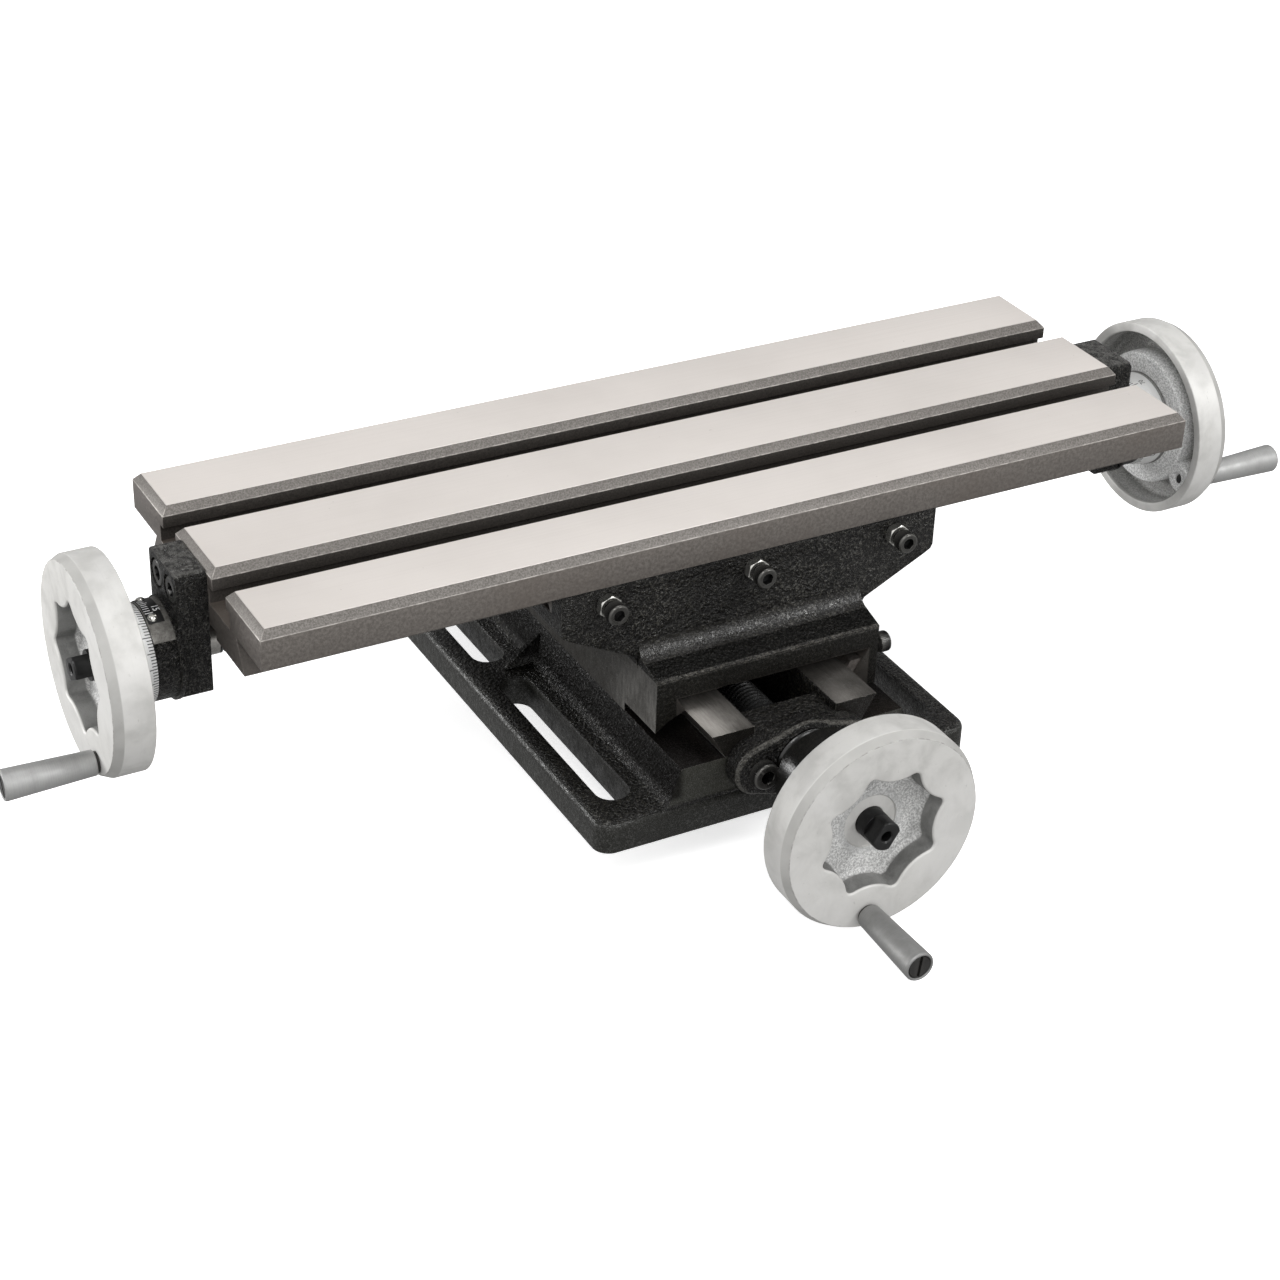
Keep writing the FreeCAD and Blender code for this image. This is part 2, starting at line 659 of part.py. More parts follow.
# ================================================================ handwheel, dial, grip
def wheel_set(tag, origin, out, hand, dial_tag, grip_tag, star):
    """A dished handwheel with its dial, set screws, spindle and grip. Local +Z points outward from the
    wheel's back plane and local +X towards the crank handle."""
    z = V(*out)
    x = V(*hand)
    rot = FreeCAD.Rotation(x, V(0, 0, 0), z, "ZXY")
    w = doc.addObject("PartDesign::Body", "Wheel_" + tag)
    sk = poly(
        sketch(w, tag + "_wheel_section", "XZ_Plane"),
        [
            (journal_rad, -hub_back),
            (hub_rad, -hub_back),
            (hub_rad, 0),
            (hub_seat, 0),
            (hub_seat, cup_back),
            (cup_rad - 1.5, cup_back),
            (cup_rad, cup_back + 1.5),
            (cup_rad + 1.2, plate_under - 1.6),
            (cup_rad + 2.8, plate_under),
            (rim_in - 1.6, plate_under),
            (rim_in, plate_under - 1.6),
            (rim_in, 0.6),
            (rim_in + 0.6, 0),
            (wheel_rad - 0.6, 0),
            (wheel_rad, 0.6),
            (wheel_rad, wheel_cyl),
            (wheel_face, wheel_deep),
            (journal_rad, wheel_deep),
        ],
    )
    rv = w.newObject("PartDesign::Revolution", tag + "_wheel_turned")
    rv.Profile = sk
    rv.ReferenceAxis = (sk, ["V_Axis"])
    rv.Angle = 360
    doc.recompute()
    # star pocket with eight rounded tips, cut as a disc less eight scallops
    disc = cyl(tag + "_star_disc", star_tip, star_deep + 1, (0, 0, wheel_deep - star_deep))
    scallops = []
    for i in range(8):
        a = math.radians(45.0 * i)
        s = cyl(tag + "_scallop_%d" % i, star_scal, star_deep + 3, (star_off * math.cos(a), star_off * math.sin(a), wheel_deep - star_deep - 1))
        scallops.append(s)
    star = cut(tag + "_star", disc, *scallops)
    doc.recompute()
    sharp = [
        (i + 1, 2.0, 2.0)
        for i, e in enumerate(star.Shape.Edges)
        if e.BoundBox.ZLength > 5 and e.BoundBox.XLength < 1e-3 and e.BoundBox.YLength < 1e-3
    ]
    rounded = doc.addObject("Part::Fillet", tag + "_star_rounded")
    rounded.Base = star
    rounded.Edges = sharp
    spot = cyl(tag + "_hub_spot", spot_rad, star_deep + 1, (0, 0, wheel_deep - star_deep - spot_deep))
    boss = cyl(tag + "_handle_boss", 8.2, plate_under - cup_back + 0.5, (crank_rad - 1.7, 0, cup_back))
    bolt = cyl(tag + "_handle_hole", spin_rad, wheel_deep + 2, (crank_rad, 0, -1))
    setting = cyl(tag + "_set_hole", 2.5, 14, (0, 0, 0), "x")
    place(setting, (4, 0, -hub_back / 2))
    setting.Placement = FreeCAD.Placement(V(4, 0, -hub_back.v / 2), ROT["x"])
    wheel = cut(tag + "_wheel", fuse(tag + "_wheel_blank", w, boss), rounded, spot, bolt, setting)
    place(wheel, origin, rot)
    node(wheel, tag + "_handwheel")

    dial = cut(
        tag + "_dial",
        cone(tag + "_dial_body", dial_small, dial_large, dial_len, (0, 0, -dial_len)),
        cyl(tag + "_dial_bore", hub_rad, dial_len + 2, (0, 0, -dial_len - 1)),
        cyl(tag + "_dial_hole", 2.0, 12, (0, 0, 0)),
    )
    dial.Tool.Shapes[1].Placement = FreeCAD.Placement(V(0, 14, -dial_len.v * 0.42), ROT["y"])
    place(dial, origin, rot)
    node(dial, dial_tag)

    hub_screw = cut(
        tag + "_hub_set",
        cyl(tag + "_hub_set_body", 2.5, hub_rad - journal_rad - 0.4),
        hexa(tag + "_hub_set_socket", 2.5, 4, (0, 0, hub_rad - journal_rad - 3.4)),
    )
    hub_screw.Placement = FreeCAD.Placement(V(journal_rad.v + 0.05, 0, -hub_back.v / 2), ROT["x"])
    dial_screw = cut(
        tag + "_dial_set",
        cyl(tag + "_dial_set_body", 2.0, 6.2),
        hexa(tag + "_dial_set_socket", 2.0, 3, (0, 0, 4.2)),
    )
    dial_screw.Placement = FreeCAD.Placement(V(0, hub_rad.v + 0.05, -dial_len.v * 0.42), ROT["y"])
    set_screws = []
    for s in (hub_screw, dial_screw):
        g = group(s.Name + "_placed", s)
        place(g, origin, rot)
        set_screws.append(g)

    spindle = cut(
        tag + "_spindle",
        fuse(
            tag + "_spindle_blank",
            cyl(tag + "_spindle_rod", spin_rad, wheel_deep + grip_len - 1.5 - spin_head_thk, (crank_rad, 0, cup_back + 0.3)),
            cyl(tag + "_spindle_collar", collar_rad, collar_thk, (crank_rad, 0, wheel_deep)),
            cyl(tag + "_spindle_head", spin_head, spin_head_thk, (crank_rad, 0, wheel_deep + grip_len - 0.3 - spin_head_thk)),
        ),
        box(tag + "_spindle_slot", 14, 1.5, 3, (crank_rad - 7, -0.75, wheel_deep + grip_len - 0.3 - 1.3)),
    )
    place(spindle, origin, rot)
    node(spindle, tag + "_handle_spindle")

    seat = wheel_deep + collar_thk + 0.25
    grip = cut(
        tag + "_grip",
        fuse(
            tag + "_grip_blank",
            cone(tag + "_grip_body", grip_small, grip_large, grip_len - collar_thk - 1.05, (crank_rad, 0, seat)),
            cone(tag + "_grip_end", grip_large, grip_large - 0.7, 0.8, (crank_rad, 0, wheel_deep + grip_len - 0.8)),
        ),
        cyl(tag + "_grip_bore", spin_rad + spin_gap, grip_len + 4, (crank_rad, 0, wheel_deep)),
        cyl(tag + "_grip_recess", spin_head + 0.3, 5, (crank_rad, 0, wheel_deep + grip_len - 0.3 - spin_head_thk - 0.25)),
    )
    place(grip, origin, rot)
    node(grip, grip_tag)
    return set_screws


def yz(deg):
    a = math.radians(deg)
    return (0, math.cos(a), math.sin(a))


long_sets = []
long_sets += wheel_set("left", (-wheel_back, t_cy, long_z), (-1, 0, 0), yz(-118.6), "left_dial", "left_grip", 0)
long_sets += wheel_set("right", (wheel_back, t_cy, long_z), (1, 0, 0), yz(-152.0), "right_dial", "right_grip", 0)
node(group("long_set_screws", *long_sets), "long_wheel_set_screws")

fw_y = t_cy - dim("cross_wheel_back", 173.0)
doc.recompute()
a97 = math.radians(-97.0)
cross_sets = wheel_set("front", (0, fw_y, cross_z), (0, -1, 0), (math.cos(a97), 0, math.sin(a97)), "front_dial", "front_grip", 0)
node(group("cross_set_screws", *cross_sets), "cross_wheel_set_screws")

# ================================================================ base casting
bb = doc.addObject("PartDesign::Body", "BaseCasting")
sk = poly(
    sketch(bb, "flange_section", "XY_Plane"),
    [(-base_half_x, -base_half_y), (base_half_x, -base_half_y), (base_half_x, base_half_y), (-base_half_x, base_half_y)],
)
flange = pad(bb, sk, flange_thk, "flange")
f1 = fillet(bb, flange, picked(bb.Shape, vertical), base_corner, "flange_corners")
top = picked(bb.Shape, lambda e: e.BoundBox.ZMin > flange_thk.v - 1e-3)
f2 = fillet(bb, f1, top, base_edge, "flange_edge")
# body, ways and rails in one section along Y
half = [
    (side_foot + 4, flange_thk - 0.5),
    (side_foot + 1.2, flange_thk + 1.0),
    (side_foot - 0.2, flange_thk + 4.0),
    (way_half + 1.2, way_z - 2.6),
    (way_half, way_z),
    (rail_foot, way_z),
    (rail_foot + (rail_top - way_z) * tan30, rail_top),
    (rail_in, rail_top),
    (rail_in, lip_top),
]
section = half + [(-x, z) for x, z in reversed(half)]
sk = poly(sketch(bb, "body_section", "XZ_Plane", base_half_y), section)
body = pad(bb, sk, base_half_y * 2, "body_and_rails", reverse=True)
sk = poly(
    sketch(bb, "channel_section", "XY_Plane", lip_top + 1),
    [
        (-rail_in, -(base_half_y - lip_thk)),
        (rail_in, -(base_half_y - lip_thk)),
        (rail_in, base_half_y - lip_thk),
        (-rail_in, base_half_y - lip_thk),
    ],
)
pocket(bb, sk, lip_top + 1 - chan_floor, "channel")
for side, tag in ((1, "right"), (-1, "left")):
    tri = [(rib_foot * side, flange_thk - 1), (rib_foot * side, flange_thk), ((way_half + 1.5) * side, rib_high), ((way_half - 3) * side, rib_high), ((way_half - 3) * side, flange_thk - 1)]
    sk = poly(sketch(bb, "rib_section_" + tag, "XZ_Plane", rib_half), tri)
    pad(bb, sk, rib_half * 2, "rib_" + tag, reverse=True)
sk = sketch(bb, "slot_section", "XY_Plane", flange_thk + 1)
for sx in (1, -1):
    slot_y(sk, slot_x * sx, slot_near + slot_rad, slot_far - slot_rad, slot_rad)
    slot_y(sk, slot_x * sx, -(slot_far - slot_rad), -(slot_near + slot_rad), slot_rad)
pocket(bb, sk, flange_thk + 2, "bolt_slots")
for sx, tx in ((1, "right"), (-1, "left")):
    for sy, ty in ((1, "back"), (-1, "front")):
        x1, x2 = under_in * sx, under_out * sx
        y1, y2 = Dim.of(8) * sy, under_y * sy
        sk = poly(sketch(bb, "underside_%s_%s_section" % (tx, ty), "XY_Plane"), [(x1, y1), (x2, y1), (x2, y2), (x1, y2)])
        pocket(bb, sk, under_deep, "underside_%s_%s" % (tx, ty), reverse=True)
sk = circle(sketch(bb, "front_screw_hole_section", "XZ_Plane", base_half_y), 0, cross_z, thread_rad + 0.8)
pocket(bb, sk, lip_thk, "front_screw_hole")
sk = circle(sketch(bb, "back_screw_hole_section", "XZ_Plane", -base_half_y), 0, cross_z, dim("rear_journal_radius", 6.0) + bush_gap)
doc.recompute()
pocket(bb, sk, lip_thk, "back_screw_hole", reverse=True)
sk = sketch(bb, "bracket_tapping_section", "XZ_Plane", base_half_y)
circle(sk, fb_ear_x, cross_z, b_shank)
circle(sk, -fb_ear_x, cross_z, b_shank)
pocket(bb, sk, 16.5, "bracket_tapping")
node(bb, "base_casting")

# ================================================================ cross screw bearing bracket
face_y = -base_half_y
ear = []
mid = cyl("cross_flange_mid", fb_mid_rad, fb_thk, (0, face_y, cross_z), "-y")
for s, tag in ((1, "right"), (-1, "left")):
    ear.append(cyl("cross_flange_ear_" + tag, fb_ear_rad, fb_thk, (fb_ear_x * s, face_y, cross_z), "-y"))
webb = doc.addObject("PartDesign::Body", "CrossFlangeWeb")
sk = poly(
    sketch(webb, "cross_flange_web_section", "XZ_Plane", base_half_y),
    [
        (-fb_ex, cross_z + fb_ez), (-fb_tx, cross_z + fb_tz), (fb_tx, cross_z + fb_tz), (fb_ex, cross_z + fb_ez),
        (fb_ex, cross_z - fb_ez), (fb_tx, cross_z - fb_tz), (-fb_tx, cross_z - fb_tz), (-fb_ex, cross_z - fb_ez),
    ],
)
pad(webb, sk, fb_thk, "cross_flange_web")
neck = cyl("cross_neck", neck_rad, fb_thk + neck_len + 1, (0, face_y, cross_z), "-y")
drum = cyl("cross_drum", drum_rad, fdrum_len, (0, face_y - fb_thk - neck_len, cross_z), "-y")
seat_outer = cyl("cross_index_seat_outer", seat_rad, drum_len)
seat_outer.Angle = 104.0
seat = cut("cross_index_seat", seat_outer, cyl("cross_index_seat_inner", drum_rad - 1.2, drum_len + 2, (0, 0, -1)))
a = math.radians(55.5)
place(seat, (0, face_y - fb_thk - neck_len - fdrum_len + drum_len, cross_z), FreeCAD.Rotation(V(math.cos(a), 0, math.sin(a)), V(0, 0, 0), V(0, -1, 0), "ZXY"))
tools = [
    cyl("cross_bush_seat", bush_rad, fb_thk + neck_len + fdrum_len + 2, (0, face_y + 1, cross_z), "-y"),
    cyl("cross_collar_recess", fcol_room, fcol_deep + 1, (0, face_y + 1, cross_z), "-y"),
]
for s, tag in ((1, "right"), (-1, "left")):
    tools.append(cyl("cross_bracket_hole_" + tag, b_shank + 0.2, fb_thk + 2, (fb_ear_x * s, face_y + 1, cross_z), "-y"))
cb = cut("CrossBracket", fuse("cross_bracket_blank", mid, ear[0], ear[1], webb, neck, drum, seat), *tools)
node(cb, "cross_screw_bracket")
screws = [
    cap_screw("cross_bracket_screw_" + tag, b_head, 5.6, b_shank, 26, 6, 3.2, (fb_ear_x * s, face_y - fb_thk, cross_z), "-y")
    for s, tag in ((1, "right"), (-1, "left"))
]
node(group("cross_bracket_screw_group", *screws), "cross_bracket_screws")
cbush = cut(
    "cross_bush",
    cyl("cross_bush_outer", bush_rad, fb_thk + neck_len + fdrum_len - fcol_deep - 0.3),
    cyl("cross_bush_bore", journal_rad + bush_gap, 60, (0, 0, -1)),
)
place(cbush, (0, face_y - fcol_deep, cross_z), "-y")
node(cbush, "cross_bushing")
cy0 = face_y - fb_thk - neck_len - fdrum_len
outer = cyl("front_index_outer", index_rad, index_wide)
outer.Angle = 57.0
plate = cut("front_index", outer, cyl("front_index_inner", seat_rad + 0.01, 12, (0, 0, -1)))
# angles in the plane across the screw, seen from the front, from +X towards +Z: 79 to 136 degrees
a = math.radians(79.0)
place(plate, (0, cy0 + 0.6 + index_wide, cross_z), FreeCAD.Rotation(V(math.cos(a), 0, math.sin(a)), V(0, 0, 0), V(0, -1, 0), "ZXY"))
doc.recompute()
node(plate, "front_index_plate")
heads = []
for i, ang in enumerate((86.5, 128.5)):
    a = math.radians(ang)
    out = V(math.cos(a), 0, math.sin(a))
    head = doc.addObject("Part::Sphere", "front_dome_%d" % i)
    head.Radius = 2.6
    head.Angle1 = 30
    head.Angle2 = 90
    place(head, (0, 0, -1.3))
    s = cut("front_index_screw_%d" % i, head, box("front_dome_slot_%d" % i, 6, 0.6, 1, (-3, -0.3, 0.75)))
    rad = index_rad.v
    place(s, (rad * out.x, cy0.v + 3.3, cross_z.v + rad * out.z), FreeCAD.Rotation(V(0, -1, 0), V(0, 0, 0), out, "ZXY"))
    heads.append(s)
node(group("front_index_screws_group", *heads), "front_index_screws")

# ================================================================ cross leadscrew
cs_end = -(fw_y - wheel_deep - shaft_proud)
cs_thread_front = base_half_y + 0.6
cs = cut(
    "CrossScrew",
    fuse(
        "cross_screw_blank",
        cyl("cross_thread", thread_rad, cs_thread_front + base_half_y - lip_thk - 1.0, (0, 0, -(base_half_y - lip_thk - 1.0))),
        cyl("cross_rear_journal", 6.0, lip_thk + 2, (0, 0, -(base_half_y - 0.6))),
        cyl("cross_collar", fcol_rad, fcol_deep - 0.8, (0, 0, base_half_y + 0.4)),
        cyl("cross_front_journal", journal_rad, cs_end - base_half_y, (0, 0, base_half_y)),
    ),
    *shaft_cuts("cross_plus", cs_end, 0),
)
af = math.radians(57.5)
place(cs, (0, 0, cross_z), FreeCAD.Rotation(V(math.cos(af), 0, math.sin(af)), V(0, 0, 0), V(0, -1, 0), "ZXY"))
node(cs, "cross_leadscrew")

# ================================================================ saddle casting
sd = doc.addObject("PartDesign::Body", "SaddleCasting")
half = [
    (low_half_x, way_z + 0.05),
    (low_half_x, sad_slope_z - 8.0),
    (low_half_x + 0.8, sad_slope_z - 3.6),
    (sad_slope_x - 1.0, sad_slope_z - 0.6),
    (sad_slope_x + 2.0, sad_slope_z + 0.9),
    (sad_half_x - 4.0, sad_end_z - 1.4),
    (sad_half_x - 1.0, sad_end_z + 0.4),
    (sad_half_x, sad_end_z + 2.5),
    (sad_half_x, sad_top),
]
sk = poly(sketch(sd, "saddle_section", "XZ_Plane", sad_half_y), half + [(-x, z) for x, z in reversed(half)])
pad(sd, sk, sad_half_y * 2, "saddle_block", reverse=True)
sk = poly(
    sketch(sd, "lower_block_section", "YZ_Plane", -low_half_x),
    [
        (-low_half_y, way_z + 0.05),
        (low_half_y, way_z + 0.05),
        (low_half_y, ledge_lo),
        (sad_half_y, ledge_hi),
        (-sad_half_y, ledge_hi),
        (-low_half_y, ledge_lo),
    ],
)
pad(sd, sk, low_half_x * 2, "lower_block")
# dovetail slot underneath, along Y, with room for the gib on the right
zlo, zhi = way_z - 1, under_roof
lx = rail_foot + gap
sk = poly(
    sketch(sd, "cross_slot_section", "XZ_Plane", low_half_y + 1),
    [
        (-(lx + (zlo - way_z) * tan30), zlo),
        (lx + gib_thk + gap + (zlo - way_z) * tan30, zlo),
        (lx + gib_thk + gap + (zhi - way_z) * tan30, zhi),
        (-(lx + (zhi - way_z) * tan30), zhi),
    ],
)
pocket(sd, sk, low_half_y * 2 + 2, "cross_slot")
# open corner of the front skirt, left of the rails
sk = poly(
    sketch(sd, "skirt_arch_section", "XZ_Plane", low_half_y + 1),
    [(-61, 34), (-61, 38.6), (-57.2, 40.0), (-51.6, 44.2), (-45.6, 46.8), (-40.6, 49.1), (-35.6, 51.4), (-30.5, 54.4), (-24, 55.3), (-17.8, 55.4), (-17.8, 34)],
)
pocket(sd, sk, 30, "skirt_arch")
# dovetail slot on top, along X, with room for the gib at the front, and the screw's groove
z0, z1 = seat_z, sad_top + 1


def front_lip(z):
    return -(tdt_neck + (slab_z - z) * tan30 + gap + gib_thk + gap)


def back_lip(z):
    return tdt_neck + (slab_z - z) * tan30 + gap


sk = poly(
    sketch(sd, "table_slot_section", "YZ_Plane", sad_half_x + 1),
    [
        (front_lip(z0), z0),
        (-groove_half, z0),
        (-groove_half, groove_floor),
        (groove_half, groove_floor),
        (groove_half, z0),
        (back_lip(z0), z0),
        (back_lip(z1), z1),
        (front_lip(z1), z1),
    ],
)
pocket(sd, sk, sad_half_x * 2 + 2, "table_slot")
sk = sketch(sd, "table_gib_tapping_section", "XZ_Plane", sad_half_y)
for k in (-1, 0, 1):
    circle(sk, gib_pitch * k, tgib_z, m_shank + 0.02)
pocket(sd, sk, 20, "table_gib_tapping")
sk = sketch(sd, "cross_gib_tapping_section", "YZ_Plane", low_half_x)
for k in (-1, 0, 1):
    circle(sk, gib_pitch * k, xgib_z, m_shank + 0.02)
pocket(sd, sk, 18, "cross_gib_tapping")
sk = sketch(sd, "long_nut_tapping_section", "XY_Plane", groove_floor)
circle(sk, -9, 12.5, 2.0)
circle(sk, 9, -12.5, 2.0)
pocket(sd, sk, 12, "long_nut_tapping")
sk = sketch(sd, "cross_nut_tapping_section", "XY_Plane", under_roof)
circle(sk, 0, 20.5, m_shank)
circle(sk, 0, -20.5, m_shank)
pocket(sd, sk, 11, "cross_nut_tapping", reverse=True)
place(sd, (0, rest_y, 0))
node(sd, "saddle_casting")


# ================================================================ gibs and their screws
def slab_gib(name, section, role, offset, length, axis_y):
    g = doc.addObject("PartDesign::Body", name)
    sk = poly(sketch(g, name + "_section", role, offset), section)
    pad(g, sk, length, name + "_bar", reverse=axis_y)
    return g


zb, zt = Dim.of(97.5), Dim.of(111.0)


def tgi(z):
    return -(tdt_neck + (slab_z - z) * tan30 + gap)


def xgi(z):
    return rail_foot + (z - way_z) * tan30 + gap


tg = slab_gib(
    "TableGibBar",
    [(tgi(zb), zb), (tgi(zt), zt), (tgi(zt) - gib_thk, zt), (tgi(zb) - gib_thk, zb)],
    "YZ_Plane", -(sad_half_x - 1.5), (sad_half_x - 1.5) * 2, False,
)
sk = sketch(tg, "table_gib_dimple_section", "XZ_Plane", 80)
for k in (-1, 0, 1):
    circle(sk, gib_pitch * k, tgib_z, m_shank + 0.15)
dimple_t = -(tgi(tgib_z)) + gib_thk - 3.2
pocket(tg, sk, Dim.of(80) - dimple_t, "table_gib_dimples")
place(tg, (0, rest_y, 0))
node(tg, "table_gib")

zb2, zt2 = Dim.of(35.4), Dim.of(50.0)
xg = slab_gib(
    "CrossGibBar",
    [(xgi(zb2), zb2), (xgi(zb2) + gib_thk, zb2), (xgi(zt2) + gib_thk, zt2), (xgi(zt2), zt2)],
    "XZ_Plane", low_half_y - 1.0, (low_half_y - 1.0) * 2, True,
)
sk = sketch(xg, "cross_gib_dimple_section", "YZ_Plane", 70)
for k in (-1, 0, 1):
    circle(sk, gib_pitch * k, xgib_z, m_shank + 0.15)
dimple_x = xgi(xgib_z) + gib_thk - 3.2
pocket(xg, sk, Dim.of(70) - dimple_x, "cross_gib_dimples")
place(xg, (0, rest_y, 0))
node(xg, "cross_gib")

ts, tn, xs, xn = [], [], [], []
t_seat = sad_half_y + 6.5
x_seat = low_half_x + 11.5
for i, k in enumerate((-1, 0, 1)):
    ts.append(cap_screw("table_gib_screw_%d" % i, m_head, m_head_thk, m_shank, t_seat - dimple_t - 0.02, 5, 3,
                        (gib_pitch * k, rest_y - t_seat, tgib_z), "-y"))
    tn.append(hex_nut("table_gib_nut_%d" % i, m_nut_af, m_nut_thk, m_shank + 0.02, (gib_pitch * k, rest_y - sad_half_y - 0.02, tgib_z), "-y"))
    xs.append(cap_screw("cross_gib_screw_%d" % i, m_head, m_head_thk, m_shank, x_seat - dimple_x - 0.02, 5, 3,
                        (x_seat, rest_y + gib_pitch * k, xgib_z), "x"))
    xn.append(hex_nut("cross_gib_nut_%d" % i, m_nut_af, m_nut_thk, m_shank + 0.02, (low_half_x + 0.02, rest_y + gib_pitch * k, xgib_z), "x"))
node(group("table_gib_screw_group", *ts), "table_gib_screws")
node(group("table_gib_nut_group", *tn), "table_gib_locknuts")
node(group("cross_gib_screw_group", *xs), "cross_gib_screws")
node(group("cross_gib_nut_group", *xn), "cross_gib_locknuts")

# ================================================================ the two nuts
ln = cut(
    "LongNut",
    box("long_nut_block", 30, 34, 26.6, (-15, -17, 0)),
    cyl("long_nut_bore", thread_rad + nut_gap, 40, (-20, 0, long_z - groove_floor), "x"),
    cyl("long_nut_hole_a", 2.1, 40, (-9, 12.5, -5)),
    cyl("long_nut_hole_b", 2.1, 40, (9, -12.5, -5)),
    cyl("long_nut_seat_a", 3.7, 10, (-9, 12.5, 22.2)),
    cyl("long_nut_seat_b", 3.7, 10, (9, -12.5, 22.2)),
)
place(ln, (0, rest_y, groove_floor))
node(ln, "long_screw_nut")
lns = [
    cap_screw("long_nut_screw_a", 3.5, 4, 2.0, 32, 3, 2, (-9, rest_y + 12.5, groove_floor + 22.2), "z"),
    cap_screw("long_nut_screw_b", 3.5, 4, 2.0, 32, 3, 2, (9, rest_y - 12.5, groove_floor + 22.2), "z"),
]
node(group("long_nut_screw_group", *lns), "long_nut_screws")

cn = cut(
    "CrossNut",
    fuse(
        "cross_nut_blank",
        box("cross_nut_flange", 30, 54, 8, (-15, -27, -8)),
        box("cross_nut_block", 26, 28, under_roof - cross_z + 13, (-13, -14, -(under_roof - cross_z + 13))),
    ),
    cyl("cross_nut_bore", thread_rad + nut_gap, 60, (0, -30, cross_z - under_roof), "y"),
    cyl("cross_nut_hole_a", 3.2, 12, (0, 20.5, -10)),
    cyl("cross_nut_hole_b", 3.2, 12, (0, -20.5, -10)),
)
place(cn, (0, rest_y, under_roof))
node(cn, "cross_screw_nut")
cns = [
    cap_screw("cross_nut_screw_a", 5, 4.5, 3.0, 18, 5, 2.5, (0, rest_y + 20.5, under_roof - 8), "-z"),
    cap_screw("cross_nut_screw_b", 5, 4.5, 3.0, 18, 5, 2.5, (0, rest_y - 20.5, under_roof - 8), "-z"),
]
node(group("cross_nut_screw_group", *cns), "cross_nut_screws")

# ================================================================ checks and files
doc.recompute()
for o in doc.Objects:
    bad = [s for s in o.State if s in ("Invalid", "Error")]
    if bad:
        raise RuntimeError("%s (%s) is %s" % (o.Name, o.Label, bad))
labels = [n for n, o in nodes]
assert len(labels) == len(set(labels)) and len(labels) <= 60
for label, o in nodes:
    s = o.Shape
    if s.isNull() or not s.isValid() or not s.Solids:
        raise RuntimeError("%s has no sound shape" % label)
os.makedirs("parts", exist_ok=True)
total = 0.0
for label, o in nodes:
    assert o.Label == label, (o.Label, label)
    o.Shape.exportStep("parts/%s.step" % label)
    total += o.Shape.Volume
    bbx = o.Shape.BoundBox
    print("%-26s %2d solids %10.1f mm3  x %7.1f %7.1f  y %7.1f %7.1f  z %6.1f %6.1f"
          % (label, len(o.Shape.Solids), o.Shape.Volume, bbx.XMin, bbx.XMax, bbx.YMin, bbx.YMax, bbx.ZMin, bbx.ZMax))
print("%d sub-parts, %.1f cm3" % (len(nodes), total / 1000))
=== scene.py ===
import json
import math

import bmesh
import bpy
from mathutils import Matrix, Vector

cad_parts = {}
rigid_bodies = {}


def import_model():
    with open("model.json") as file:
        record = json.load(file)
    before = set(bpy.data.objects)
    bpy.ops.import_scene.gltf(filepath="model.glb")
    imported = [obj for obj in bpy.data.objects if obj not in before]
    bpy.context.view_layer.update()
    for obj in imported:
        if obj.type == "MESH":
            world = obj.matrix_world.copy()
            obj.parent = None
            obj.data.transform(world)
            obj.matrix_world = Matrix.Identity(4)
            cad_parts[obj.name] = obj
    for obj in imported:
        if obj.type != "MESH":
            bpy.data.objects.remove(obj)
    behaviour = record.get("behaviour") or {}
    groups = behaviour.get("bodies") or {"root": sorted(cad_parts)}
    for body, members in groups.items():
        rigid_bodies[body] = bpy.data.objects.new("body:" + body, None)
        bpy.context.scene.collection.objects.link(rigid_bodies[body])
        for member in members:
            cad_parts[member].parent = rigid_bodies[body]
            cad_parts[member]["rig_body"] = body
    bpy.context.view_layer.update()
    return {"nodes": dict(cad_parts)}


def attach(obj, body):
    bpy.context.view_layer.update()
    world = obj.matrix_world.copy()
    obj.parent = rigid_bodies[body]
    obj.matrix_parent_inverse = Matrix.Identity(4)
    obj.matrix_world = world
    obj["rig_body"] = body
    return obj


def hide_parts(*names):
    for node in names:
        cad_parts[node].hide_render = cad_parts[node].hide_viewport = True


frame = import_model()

nodes = frame["nodes"]
MM = 0.001
CY = -21.0
LONG_Z = 84.8
CROSS_Z = 30.4
scene = bpy.context.scene


